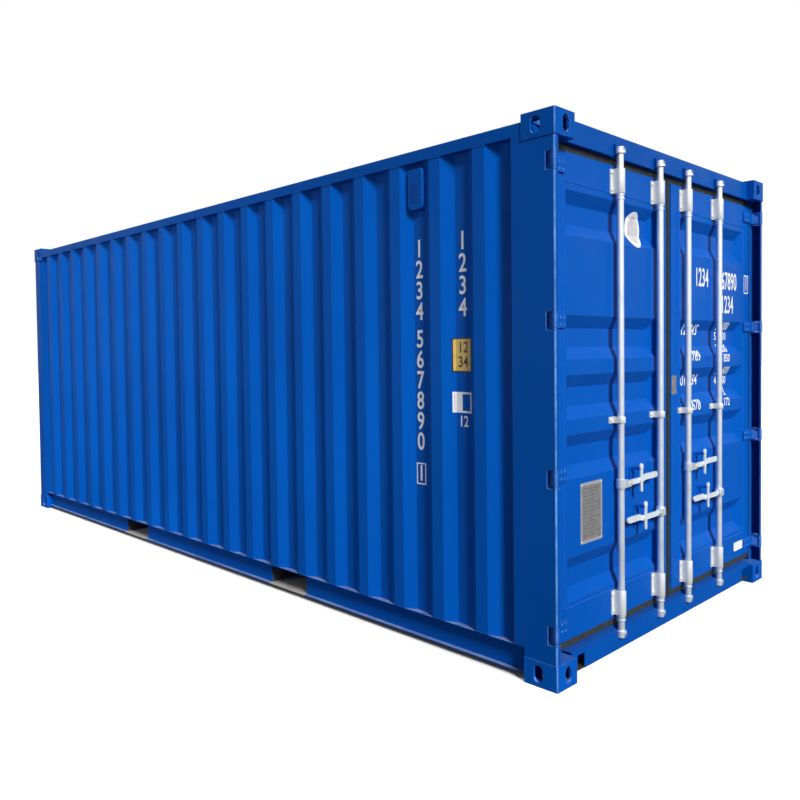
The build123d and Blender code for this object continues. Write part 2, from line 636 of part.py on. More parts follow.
# Cross members: channels between the rails, left out where the fork pockets run
CROSS_SPAN = WIDTH - 2 * (RAIL_WEB + BASE_RAIL_PLATE)
CROSS_COUNT = int((FLOOR_FINISH - FLOOR_START - 2 * CROSS_PITCH) / CROSS_PITCH) + 1
CROSS_ROW = [(step - (CROSS_COUNT - 1) / 2) * CROSS_PITCH for step in range(CROSS_COUNT)]
POCKET_REACH = POCKET_WIDTH / 2 + POCKET_PLATE + CROSS_FLANGE
CROSS_YS = [y for y in CROSS_ROW if abs(abs(y) - POCKET_FROM_MIDDLE) > POCKET_REACH]
with BuildPart() as cross_members:
    with BuildSketch(Plane.YZ.offset(-CROSS_SPAN / 2)):
        with Locations([(y, CROSS_TOP - CROSS_HEIGHT / 2) for y in CROSS_YS]):
            Rectangle(CROSS_FLANGE, CROSS_HEIGHT)
        with Locations([(y + CROSS_PLATE / 2, CROSS_TOP - CROSS_HEIGHT / 2) for y in CROSS_YS]):
            Rectangle(CROSS_FLANGE - CROSS_PLATE, CROSS_HEIGHT - 2 * CROSS_PLATE, mode=Mode.SUBTRACT)
    extrude(amount=CROSS_SPAN)

# Hinge lugs on the posts, each pair with its pin
with BuildPart() as left_hinge_lugs:
    for level in HINGE_LEVELS:
        for bottom in (HINGE_HEIGHT / 2 + HINGE_LUG_GAP, -HINGE_HEIGHT / 2 - HINGE_LUG_GAP - HINGE_LUG):
            with BuildSketch(Plane.XY.offset(level + bottom)):
                with Locations((PIN_X, PIN_Y)):
                    Circle(HINGE_LUG_RADIUS)
                with Locations((PIN_X, PIN_Y)):
                    Rectangle(HINGE_LUG_WIDTH, POST_BOX_START - HINGE_INSET, align=LOW)
            extrude(amount=HINGE_LUG)
        with Locations((PIN_X, PIN_Y, level)):
            Cylinder(HINGE_PIN, HINGE_HEIGHT + 2 * HINGE_LUG)

right_hinge_lugs = mirrored(left_hinge_lugs)

# Ventilator hoods, one in a valley of each side wall towards opposite ends, seated on its slopes
VENT_SEAT = (VENT_WIDTH - WALL_VALLEY) / 2 * WALL_DEPTH / WALL_SLOPE
with BuildPart() as vent_hood:
    first_middle = WALL_START + FIRST_VALLEY - WALL_VALLEY / 2
    with BuildSketch(Plane.XY.offset(TOP_RAIL_BOTTOM - VENT_DROP)):
        with BuildLine():
            Polyline(
                (-SIDE + VALLEY, first_middle - WALL_VALLEY / 2),
                (-SIDE + VALLEY - VENT_SEAT, first_middle - VENT_WIDTH / 2),
                (-SIDE + VALLEY - VENT_DEPTH, first_middle - VENT_WIDTH / 2),
                (-SIDE + VALLEY - VENT_DEPTH, first_middle + VENT_WIDTH / 2),
                (-SIDE + VALLEY - VENT_SEAT, first_middle + VENT_WIDTH / 2),
                (-SIDE + VALLEY, first_middle + WALL_VALLEY / 2),
                close=True,
            )
        make_face()
    extrude(amount=-VENT_HEIGHT)
    for row, radius in ((0, VENT_FOOT_CORNER), (-1, VENT_CORNER)):
        fillet(vent_hood.edges().filter_by(Axis.X).group_by(Axis.Z)[row], radius=radius)
    chamfer(vent_hood.faces().sort_by(Axis.X)[0].edges(), length=VENT_CHAMFER)

with BuildPart() as ventilators:
    with Locations((0, VENT_VALLEY_INDEX * WALL_PITCH, 0)):
        add(vent_hood.part)
    with Locations((0, (WALL_CRESTS - VENT_VALLEY_INDEX) * WALL_PITCH, 0)):
        add(mirrored(vent_hood).part)

# Door leaf: box-section stiles, channel rails between them and a pressed panel
with BuildPart() as left_stiles:
    with BuildSketch(Plane.XY.offset(LEAF_BOTTOM)):
        for left_edge in (LEAF_OUTER, PANEL_RIGHT):
            with Locations((left_edge, LEAF_FACE)):
                Rectangle(STILE_WIDTH, LEAF_DEPTH, align=LOW)
            with Locations((left_edge + STILE_WALL, LEAF_FACE + STILE_WALL)):
                Rectangle(
                    STILE_WIDTH - 2 * STILE_WALL,
                    LEAF_DEPTH - 2 * STILE_WALL,
                    align=LOW,
                    mode=Mode.SUBTRACT,
                )
    extrude(amount=LEAF_TOP - LEAF_BOTTOM)

with BuildPart() as left_leaf_rails:
    with BuildSketch(Plane.YZ.offset(PANEL_LEFT)):
        for low, high in ((LEAF_BOTTOM, PANEL_BOTTOM), (PANEL_TOP, LEAF_TOP)):
            with Locations((LEAF_FACE, low)):
                Rectangle(LEAF_DEPTH, high - low, align=LOW)
            with Locations((LEAF_FACE + LEAF_RAIL_PLATE, low + LEAF_RAIL_PLATE)):
                Rectangle(LEAF_DEPTH, high - low - 2 * LEAF_RAIL_PLATE, align=LOW, mode=Mode.SUBTRACT)
    extrude(amount=PANEL_RIGHT - PANEL_LEFT)

# Pressed door panel: the skin of a slab with five tapered recesses
INNER_RECESS = PANEL_RECESS_MOUTH + PANEL_RECESS_GAP
OUTER_RECESS = (LEAF_TOP - LEAF_BOTTOM - PANEL_RECESS_MOUTH) / 2 - PANEL_RECESS_END
RECESS_STEPS = (-OUTER_RECESS, -INNER_RECESS, 0, INNER_RECESS, OUTER_RECESS)
RECESS_LEVELS = [LEAF_MIDDLE + step for step in RECESS_STEPS]
RECESS_WIDTH = PANEL_RIGHT - PANEL_LEFT - 2 * PANEL_RECESS_MARGIN
RECESS_FLOOR = LEAF_FACE + PANEL_RECESS_DEPTH


def sloped_outline(mouth):
    """Half mouth and half floor of a recess with this mouth, across its depth."""
    return mouth / 2, mouth / 2 - PANEL_RECESS_RUN


with BuildPart() as recess_form:
    half_mouth, half_floor = sloped_outline(PANEL_RECESS_MOUTH)
    with BuildSketch(Plane.YZ):
        with BuildLine():
            Polyline(
                (LEAF_FACE, -half_mouth),
                (RECESS_FLOOR, -half_floor),
                (RECESS_FLOOR, half_floor),
                (LEAF_FACE, half_mouth),
                close=True,
            )
        make_face()
    extrude(amount=RECESS_WIDTH / 2, both=True)
    half_mouth, half_floor = sloped_outline(RECESS_WIDTH)
    with BuildSketch(Plane.XY):
        with BuildLine():
            Polyline(
                (-half_mouth, LEAF_FACE),
                (-half_floor, RECESS_FLOOR),
                (half_floor, RECESS_FLOOR),
                (half_mouth, LEAF_FACE),
                close=True,
            )
        make_face()
    extrude(amount=PANEL_RECESS_MOUTH / 2, both=True, mode=Mode.INTERSECT)

with BuildPart() as panel_form:
    with Locations((PANEL_LEFT, LEAF_FACE, PANEL_BOTTOM)):
        Box(PANEL_RIGHT - PANEL_LEFT, 2 * LEAF_DEPTH, PANEL_TOP - PANEL_BOTTOM, align=LOW3)
    for level in RECESS_LEVELS:
        with Locations(((PANEL_LEFT + PANEL_RIGHT) / 2, 0, level)):
            add(recess_form.part, mode=Mode.SUBTRACT)

with BuildPart() as left_panel:
    add(panel_form.part)
    with Locations((0, SHEET, 0)):
        add(panel_form.part, mode=Mode.SUBTRACT)

# Rubber seal round the leaf
with BuildPart() as left_seal:
    with BuildSketch(Plane.XZ.offset(END - SEAL_RECESS)):
        seal_left = -JAMB + SEAL_GAP
        seal_bottom = SILL_TOP + SEAL_GAP
        seal_top = HEADER_BOTTOM - SEAL_GAP
        with Locations((seal_left, seal_bottom)):
            Rectangle(-SEAL_MEETING_GAP - seal_left, seal_top - seal_bottom, align=LOW)
        with Locations((LEAF_OUTER, LEAF_BOTTOM)):
            Rectangle(LEAF_INNER - LEAF_OUTER, LEAF_TOP - LEAF_BOTTOM, align=LOW, mode=Mode.SUBTRACT)
    extrude(amount=-SEAL_DEPTH)

# Hinge blades: barrel on the pin, cranked on to the outer face of the leaf
with BuildPart() as left_hinges:
    for level in HINGE_LEVELS:
        with BuildSketch(Plane.XY.offset(level - HINGE_HEIGHT / 2)):
            with Locations((PIN_X, PIN_Y)):
                Circle(HINGE_BARREL)
            with BuildLine():
                Polyline(
                    (PIN_X - HINGE_BLADE / 2, PIN_Y),
                    (PIN_X + HINGE_BLADE / 2, PIN_Y),
                    (PIN_X + 2 * HINGE_BLADE, LEAF_FACE - HINGE_BLADE),
                    (PIN_X + HINGE_REACH, LEAF_FACE - HINGE_BLADE),
                    (PIN_X + HINGE_REACH, LEAF_FACE),
                    (PIN_X + HINGE_BLADE, LEAF_FACE),
                    close=True,
                )
            make_face()
            with Locations((PIN_X, PIN_Y)):
                Circle(HINGE_PIN + HINGE_CLEARANCE, mode=Mode.SUBTRACT)
        extrude(amount=HINGE_HEIGHT)


# Rod guides: plated sleeves at the ends and a plain strap in the middle
def rod_guide(x, level, width, height):
    """A foot plate on the leaf with a sleeve round the rod."""
    with BuildPart() as guide:
        with Locations((x, LEAF_FACE, level)):
            Box(width, BRACKET_PLATE, height, align=(Align.CENTER, Align.MAX, Align.CENTER))
            Box(
                2 * BRACKET_SLEEVE,
                LEAF_RECESS - ROD_RECESS,
                height,
                align=(Align.CENTER, Align.MAX, Align.CENTER),
            )
        with Locations((x, ROD_Y, level)):
            Cylinder(BRACKET_SLEEVE, height)
            Cylinder(ROD_RADIUS + ROD_CLEARANCE, height, mode=Mode.SUBTRACT)
    return guide.part


BRACKET_INSET = BRACKET_FROM_EDGE + BRACKET_HEIGHT / 2
with BuildPart() as left_rod_guides:
    for x in (-ROD_OUTER_X, -ROD_INNER_X):
        for level in (LEAF_TOP - BRACKET_INSET, LEAF_BOTTOM + BRACKET_INSET):
            add(rod_guide(x, level, BRACKET_WIDTH, BRACKET_HEIGHT))
        add(rod_guide(x, STRAP_LEVEL, STRAP_WIDTH, STRAP_HEIGHT))


# Handle catches: a plate on the leaf with an arm under the handle and one well above it
def handle_catch(x, level):
    """One catch, its lower arm just under the resting handle."""
    lower = level - HANDLE_HEIGHT / 2 - CATCH_GAP - CATCH_ARM_HEIGHT
    upper = level + CATCH_UPPER_ARM
    with BuildPart() as catch:
        with Locations((x, LEAF_FACE, level)):
            Box(CATCH_WIDTH, CATCH_PLATE, CATCH_HEIGHT, align=(Align.CENTER, Align.MAX, Align.CENTER))
        for bottom in (lower, upper):
            with Locations((x, LEAF_FACE, bottom)):
                Box(
                    CATCH_ARM,
                    LEAF_RECESS - HANDLE_RECESS - CATCH_SETBACK,
                    CATCH_ARM_HEIGHT,
                    align=(Align.CENTER, Align.MAX, Align.MIN),
                )
    return catch.part


def leaf_catches(left_rod, right_rod):
    """The upper catch right of one rod and the lower catch left of the next."""
    with BuildPart() as catches:
        add(handle_catch(left_rod + UPPER_CATCH_OFFSET, UPPER_HANDLE_LEVEL))
        add(handle_catch(right_rod - LOWER_CATCH_OFFSET, LOWER_HANDLE_LEVEL))
    return catches


left_catches = leaf_catches(ROD_XS[0], ROD_XS[1])
right_catches = leaf_catches(ROD_XS[2], ROD_XS[3])


# Lock rods: a tube with a slotted cam at each end and a clevis for the handle
def lock_rod(x, handle_level, toward):
    """One rod with rings under its end guides, its clevis pointing along +X or -X."""
    with BuildPart() as rod:
        with BuildSketch(Plane.XY.offset(LOWER_CAM)):
            with Locations((x, ROD_Y)):
                Circle(ROD_RADIUS)
                Circle(ROD_RADIUS - ROD_WALL, mode=Mode.SUBTRACT)
        extrude(amount=UPPER_CAM - LOWER_CAM)
        for start, outward in ((UPPER_CAM, 1), (LOWER_CAM, -1)):
            with BuildSketch(Plane.XY.offset(start)):
                with Locations((x, ROD_Y)):
                    Circle(CAM_RADIUS)
            extrude(amount=outward * CAM_HEIGHT)
            with BuildSketch(Plane.XY.offset(start + outward * CAM_HEIGHT)):
                with Locations((x, ROD_Y)):
                    Rectangle(CAM_SLOT, 2 * CAM_RADIUS, align=(Align.CENTER, Align.CENTER))
            extrude(amount=-outward * CAM_SLOT_DEPTH, mode=Mode.SUBTRACT)
        for guide_foot in (LEAF_TOP - BRACKET_FROM_EDGE - BRACKET_HEIGHT, LEAF_BOTTOM + BRACKET_FROM_EDGE):
            for step in (0, RING_STEP):
                with BuildSketch(Plane.XY.offset(guide_foot - RING_GAP - step)):
                    with Locations((x, ROD_Y)):
                        Circle(RING_RADIUS)
                        Circle(ROD_RADIUS - ROD_WALL / 2, mode=Mode.SUBTRACT)
                extrude(amount=-RING_HEIGHT)
        with Locations((x, ROD_Y, handle_level)):
            Cylinder(HUB_RADIUS, HUB_HEIGHT)
        with Locations((x, HANDLE_Y, handle_level)):
            Box(
                HANDLE_PIVOT,
                EARS_WIDTH,
                2 * HUB_EYE,
                align=(Align.MIN if toward > 0 else Align.MAX, Align.CENTER, Align.CENTER),
            )
        with Locations((x + toward * HANDLE_PIVOT, HANDLE_Y, handle_level)):
            Cylinder(HUB_EYE, EARS_WIDTH, rotation=(90, 0, 0))
        with Locations((x, ROD_Y, handle_level)):
            Cylinder(ROD_RADIUS - ROD_WALL, HUB_HEIGHT, mode=Mode.SUBTRACT)
        with Locations((x + toward * (HUB_RADIUS + HUB_THROAT), HANDLE_Y, handle_level)):
            Box(
                HANDLE_PIVOT + HUB_EYE,
                HANDLE_THICKNESS + 2 * HANDLE_SIDE_GAP,
                3 * HUB_EYE,
                align=(Align.MIN if toward > 0 else Align.MAX, Align.CENTER, Align.CENTER),
                mode=Mode.SUBTRACT,
            )
        with Locations((x + toward * HANDLE_PIVOT, HANDLE_Y, handle_level)):
            Cylinder(HANDLE_PIN, EARS_WIDTH, rotation=(90, 0, 0))
    return rod


def rod_handle(x, handle_level, toward, length, catch_offset):
    """A flat bar on the pivot pin with a raised round-ended grip, and a hasp across it at its catch."""
    pivot = x + toward * HANDLE_PIVOT
    catch = x + toward * catch_offset
    bend_start = catch + toward * (CATCH_WIDTH / 2)
    bend_end = bend_start + toward * HANDLE_BEND
    grip_end = x + toward * (length - GRIP_HEIGHT / 2)
    half = HANDLE_HEIGHT / 2
    grip_half = GRIP_HEIGHT / 2
    grip_level = handle_level + HANDLE_RISE
    with BuildPart() as handle:
        with BuildSketch(Plane.XZ.offset(-HANDLE_Y - HANDLE_THICKNESS / 2)):
            with Locations((pivot, handle_level)):
                Circle(half)
            with BuildLine():
                Polyline(
                    (pivot, handle_level - half),
                    (bend_start, handle_level - half),
                    (bend_end, grip_level - grip_half),
                    (grip_end, grip_level - grip_half),
                    (grip_end, grip_level + grip_half),
                    (bend_end, grip_level + grip_half),
                    (bend_start, handle_level + half),
                    (pivot, handle_level + half),
                    close=True,
                )
            make_face()
            with Locations((grip_end, grip_level)):
                Circle(grip_half)
            with Locations((pivot, handle_level)):
                Circle(HANDLE_PIN + HINGE_CLEARANCE, mode=Mode.SUBTRACT)
        extrude(amount=HANDLE_THICKNESS)
        with BuildSketch(Plane.XZ.offset(-HANDLE_Y + HANDLE_THICKNESS / 2)):
            with Locations((catch, handle_level - HASP_DOWN)):
                Rectangle(HASP_WIDTH, HASP_UP + HASP_DOWN, align=(Align.CENTER, Align.MIN))
                Circle(HASP_WIDTH / 2)
            with Locations((catch, handle_level + HASP_UP)):
                Circle(HASP_HEAD)
            with Locations((catch, handle_level)):
                Circle(HASP_HEAD)
        extrude(amount=HASP_THICKNESS)
    return handle


lock_rod_1 = lock_rod(ROD_XS[0], UPPER_HANDLE_LEVEL, 1)
lock_rod_2 = lock_rod(ROD_XS[1], LOWER_HANDLE_LEVEL, -1)
lock_rod_3 = lock_rod(ROD_XS[2], UPPER_HANDLE_LEVEL, 1)
lock_rod_4 = lock_rod(ROD_XS[3], LOWER_HANDLE_LEVEL, -1)
handle_1 = rod_handle(
    ROD_XS[0], UPPER_HANDLE_LEVEL, 1, UPPER_HANDLE_LENGTH, UPPER_CATCH_OFFSET
)
handle_2 = rod_handle(
    ROD_XS[1], LOWER_HANDLE_LEVEL, -1, LOWER_HANDLE_LENGTH, LOWER_CATCH_OFFSET
)
handle_3 = rod_handle(
    ROD_XS[2], UPPER_HANDLE_LEVEL, 1, UPPER_HANDLE_LENGTH, UPPER_CATCH_OFFSET
)
handle_4 = rod_handle(
    ROD_XS[3], LOWER_HANDLE_LEVEL, -1, LOWER_HANDLE_LENGTH, LOWER_CATCH_OFFSET
)

pieces = {
    "bottom_corner_castings": bottom_castings,
    "top_corner_castings": top_castings,
    "left_door_post": left_door_post,
    "right_door_post": right_door_post,
    "left_front_post": left_front_post,
    "right_front_post": right_front_post,
    "left_top_rail": left_top_rail,
    "right_top_rail": right_top_rail,
    "left_bottom_rail": left_bottom_rail,
    "right_bottom_rail": right_bottom_rail,
    "front_top_rail": front_top_rail,
    "front_sill": front_sill,
    "door_header": door_header,
    "door_sill": door_sill,
    "cam_keepers": cam_keepers,
    "left_wall": left_wall,
    "right_wall": right_wall,
    "front_wall": front_wall,
    "roof": roof,
    "floor_boards": floor_boards,
    "cross_members": cross_members,
    "fork_pocket_tops": fork_pocket_tops,
    "fork_pocket_webs": fork_pocket_webs,
    "fork_pocket_straps": fork_pocket_straps,
    "left_hinge_lugs": left_hinge_lugs,
    "right_hinge_lugs": right_hinge_lugs,
    "ventilators": ventilators,
    "left_door_stiles": left_stiles,
    "left_door_rails": left_leaf_rails,
    "left_door_panel": left_panel,
    "left_door_seal": left_seal,
    "left_door_hinges": left_hinges,
    "left_rod_guides": left_rod_guides,
    "left_handle_catches": left_catches,
    "right_door_stiles": mirrored(left_stiles),
    "right_door_rails": mirrored(left_leaf_rails),
    "right_door_panel": mirrored(left_panel),
    "right_door_seal": mirrored(left_seal),
    "right_door_hinges": mirrored(left_hinges),
    "right_rod_guides": mirrored(left_rod_guides),
    "right_handle_catches": right_catches,
    "lock_rod_1": lock_rod_1,
    "lock_rod_2": lock_rod_2,
    "lock_rod_3": lock_rod_3,
    "lock_rod_4": lock_rod_4,
    "handle_1": handle_1,
    "handle_2": handle_2,
    "handle_3": handle_3,
    "handle_4": handle_4,
}

os.makedirs("parts", exist_ok=True)
for name, piece in pieces.items():
    piece.part.label = name
    export_step(piece.part, f"parts/{name}.step")
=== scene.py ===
"""Looks for the freight container: materials, fasteners, welds, marks, light and camera.

Metres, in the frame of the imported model: X across the width, Y along the length, Z up, with the
doors facing -Y.
"""

import math

import bmesh
import bpy
from mathutils import Matrix, Vector
from mathutils.bvhtree import BVHTree


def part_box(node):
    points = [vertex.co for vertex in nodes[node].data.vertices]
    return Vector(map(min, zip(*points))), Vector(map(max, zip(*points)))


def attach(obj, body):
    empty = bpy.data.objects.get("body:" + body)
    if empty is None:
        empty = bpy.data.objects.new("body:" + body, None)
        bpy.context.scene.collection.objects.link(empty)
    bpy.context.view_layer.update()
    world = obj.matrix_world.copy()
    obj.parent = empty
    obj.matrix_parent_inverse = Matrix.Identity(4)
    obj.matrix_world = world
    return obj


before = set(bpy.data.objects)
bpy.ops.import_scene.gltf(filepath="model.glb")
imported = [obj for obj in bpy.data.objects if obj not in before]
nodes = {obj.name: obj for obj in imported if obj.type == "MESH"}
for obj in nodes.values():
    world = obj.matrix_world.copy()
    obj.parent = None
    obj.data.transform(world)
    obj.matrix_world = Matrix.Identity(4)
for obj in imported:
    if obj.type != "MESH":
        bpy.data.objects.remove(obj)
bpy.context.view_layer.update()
scene = bpy.context.scene

# Colours as linear red, green and blue
BLUE = (0.001, 0.105, 0.51)
DEEP_BLUE = (0.0008, 0.090, 0.45)
PALE_BLUE = (0.004, 0.14, 0.57)
WORN_BLUE = (0.10, 0.24, 0.54)
BARED_AND_HIGHLIGHT_BLUE = (0.16, 0.36, 0.74)
SHADE_BLUE = (0.0004, 0.022, 0.13)
DUST_AND_SKYLIGHT = (0.34, 0.43, 0.55)
ZINC = (0.80, 0.87, 0.92)
DULL_ZINC = (0.58, 0.66, 0.71)
PALE_ZINC = (0.88, 0.95, 0.98)
DULL_PALE = (0.70, 0.77, 0.81)
CREAM_ZINC = (0.78, 0.80, 0.77)
DULL_CREAM = (0.62, 0.64, 0.62)
BRASSY = (0.72, 0.68, 0.54)
DULL_BRASSY = (0.56, 0.52, 0.40)
STEEL = (0.50, 0.48, 0.45)
DULL_STEEL = (0.34, 0.32, 0.30)
RUST = (0.10, 0.045, 0.02)
RUBBER = (0.028, 0.034, 0.036)
RUBBER_BLOOM = (0.060, 0.070, 0.075)
PLY = (0.30, 0.155, 0.07)
PLY_DARK = (0.16, 0.075, 0.032)
PLY_RUBBED = (0.10, 0.075, 0.06)
UNDERCOAT = (0.016, 0.018, 0.022)
DUSTY_UNDERCOAT = (0.05, 0.048, 0.046)
WHITE = (0.96, 0.98, 1.0)
SOILED_WHITE = (0.60, 0.68, 0.78)
PALE_GREY = (0.68, 0.65, 0.65)
SOILED_GREY = (0.42, 0.40, 0.42)
YELLOW = (0.80, 0.55, 0.14)
SOILED_YELLOW = (0.40, 0.22, 0.03)
BLACK = (0.012, 0.012, 0.014)
WORN_BLACK = (0.05, 0.05, 0.05)
LINE_GREY = (0.13, 0.13, 0.135)
WORN_LINE = (0.22, 0.22, 0.23)
PLATE_RIM = (0.36, 0.37, 0.38)
SOILED_RIM = (0.24, 0.26, 0.28)
PLATE_GREY = (0.235, 0.23, 0.225)
SOILED_PLATE = (0.12, 0.12, 0.12)
FLOOR_WHITE = (0.90, 0.90, 0.90)
FLOOR_BOUNCE = (0.18, 0.19, 0.21)
SKY_TINT = (0.74, 0.80, 1.0)

# Sizes of the added pieces
SHEET = 0.002
MARK_LIFT = 0.0006
WELD_RADIUS = 0.003
FASTENER_RADIUS = 0.0065
GUIDE_PLATE = 0.006
GUIDE_BOLT_FROM_END = 0.061
GUIDE_BOLT_SPREAD = (0.032, 0.042)
MIDDLE_GUIDE_LEVEL = 1.175
MIDDLE_BOLT_SPREAD = 0.046
HINGE_PLATE = 0.010
HINGE_HALF_WIDTH = 0.030
HINGE_RIVETS_BACK = (0.016, 0.046, 0.076)
HINGE_RIVET_RISE = 0.016
SEAL_RIB = 0.0025
THIN_RIB = 0.0018
THIN_RIBS_FROM_BOTTOM = (0.018, 0.028)
THIN_RIBS_FROM_TOP = (0.016, 0.025)
THIN_RIB_ENDS = (0.016, 0.010)
CLOSING_LENGTH, CLOSING_WIDTH, CLOSING_PLATE = 0.220, 0.046, 0.004
CLOSING_CORNER = 0.002
CLOSING_SEAM = 0.105

# Ventilators: plates as width, height, thickness and corner radius
VENT_TAB = (0.060, 0.040, 0.003, 0.009)
VENT_TAB_BEYOND, VENT_RIVET_BEYOND, VENT_RIVET = 0.006, 0.014, 0.0055
LOUVRE = (0.054, 0.005, 0.002, 0.002)
LOUVRE_COUNT, LOUVRE_PITCH, LOUVRE_START = 8, 0.013, 0.045

# Lock rods: place across the width, side that the handle lies on, and level of the handle's pivot
LOCK_RODS = (
    (-0.595, 1, 0.856),
    (-0.170, -1, 0.655),
    (0.170, 1, 0.856),
    (0.595, -1, 0.655),
)
PIVOT_FROM_ROD = 0.044
PIVOT_HEAD = [(0.011, 0.0), (0.011, 0.0015), (0.0095, 0.0025)]


# Shader helpers

def new_shader(name):
    """A material with its node tree and its surface shader."""
    material = bpy.data.materials.new(name)
    material.use_nodes = True
    tree = material.node_tree
    return material, tree, tree.nodes["Principled BSDF"]


def own_coordinates(tree):
    """The piece's own coordinates, which move with it."""
    return tree.nodes.new("ShaderNodeTexCoord").outputs["Object"]


def noise(tree, place, scale, detail=4.0, stretch=(1.0, 1.0, 1.0)):
    """Noise from 0 to 1, its grain drawn out along the axes that have a small stretch."""
    mapping = tree.nodes.new("ShaderNodeMapping")
    mapping.inputs["Scale"].default_value = stretch
    texture = tree.nodes.new("ShaderNodeTexNoise")
    texture.inputs["Scale"].default_value = scale
    texture.inputs["Detail"].default_value = detail
    tree.links.new(place, mapping.inputs["Vector"])
    tree.links.new(mapping.outputs["Vector"], texture.inputs["Vector"])
    return texture.outputs["Fac"]


def fade(tree, value, start, end, low=0.0, high=1.0):
    """The value between start and end, spread over low to high and held there outside."""
    spread = tree.nodes.new("ShaderNodeMapRange")
    spread.inputs["From Min"].default_value = start
    spread.inputs["From Max"].default_value = end
    spread.inputs["To Min"].default_value = low
    spread.inputs["To Max"].default_value = high
    tree.links.new(value, spread.inputs["Value"])
    return spread.outputs["Result"]


def times(tree, first, second):
    """The product of two values."""
    product = tree.nodes.new("ShaderNodeMath")
    product.operation = "MULTIPLY"
    for socket, value in zip(product.inputs, (first, second)):
        if isinstance(value, float):
            socket.default_value = value
        else:
            tree.links.new(value, socket)
    return product.outputs["Value"]


def mix(tree, share, first, second):
    """A blend of two colours, each a socket or a plain colour."""
    blend = tree.nodes.new("ShaderNodeMix")
    blend.data_type = "RGBA"
    tree.links.new(share, blend.inputs["Factor"])
    for socket, colour in ((blend.inputs[6], first), (blend.inputs[7], second)):
        if isinstance(colour, tuple):
            socket.default_value = (*colour, 1.0)
        else:
            tree.links.new(colour, socket)
    return blend.outputs[2]


def worn_edges(tree, radius):
    """1 along sharp outer edges and 0 on flat faces."""
    rounded = tree.nodes.new("ShaderNodeBevel")
    rounded.samples = 4
    rounded.inputs["Radius"].default_value = radius
    geometry = tree.nodes.new("ShaderNodeNewGeometry")
    likeness = tree.nodes.new("ShaderNodeVectorMath")
    likeness.operation = "DOT_PRODUCT"
    tree.links.new(rounded.outputs["Normal"], likeness.inputs[0])
    tree.links.new(geometry.outputs["Normal"], likeness.inputs[1])
    return fade(tree, likeness.outputs["Value"], 0.98, 0.80)


def parts_of(tree, vector):
    """The X, Y and Z of a vector."""
    parts = tree.nodes.new("ShaderNodeSeparateXYZ")
    tree.links.new(vector, parts.inputs["Vector"])
    return parts.outputs


def own_normal(tree):
    """The direction that a face looks in, in the piece's own frame."""
    geometry = tree.nodes.new("ShaderNodeNewGeometry")
    turned = tree.nodes.new("ShaderNodeVectorTransform")
    turned.vector_type = "NORMAL"
    turned.convert_from = "WORLD"
    turned.convert_to = "OBJECT"
    tree.links.new(geometry.outputs["True Normal"], turned.inputs["Vector"])
    return turned.outputs["Vector"]


def upward_faces(tree):
    """1 on faces that look up and 0 on the others."""
    geometry = tree.nodes.new("ShaderNodeNewGeometry")
    return fade(tree, parts_of(tree, geometry.outputs["Normal"])["Z"], 0.85, 0.98)


def turned_edges(tree):
    """1 where a surface turns from one main direction to another and 0 on square faces."""
    size = tree.nodes.new("ShaderNodeVectorMath")
    size.operation = "ABSOLUTE"
    tree.links.new(own_normal(tree), size.inputs[0])
    along = parts_of(tree, size.outputs["Vector"])
    largest = along["X"]
    for other in ("Y", "Z"):
        larger = tree.nodes.new("ShaderNodeMath")
        larger.operation = "MAXIMUM"
        tree.links.new(largest, larger.inputs[0])
        tree.links.new(along[other], larger.inputs[1])
        largest = larger.outputs["Value"]
    return fade(tree, largest, 0.985, 0.89)


def inward_faces(tree, place):
    """1 on faces that look across to the other side and 0 on the others."""
    across = times(tree, parts_of(tree, place)["X"], parts_of(tree, own_normal(tree))["X"])
    return fade(tree, across, -0.6, -1.0)


def bump(tree, height, strength, distance, under=None):
    """A bump normal, on top of another one where given."""
    relief = tree.nodes.new("ShaderNodeBump")
    relief.inputs["Strength"].default_value = strength
    relief.inputs["Distance"].default_value = distance
    tree.links.new(height, relief.inputs["Height"])
    if under is not None:
        tree.links.new(under, relief.inputs["Normal"])
    return relief.outputs["Normal"]


# Materials

def toned(colour, tone):
    """A colour made lighter or darker."""
    return tuple(part * tone for part in colour)


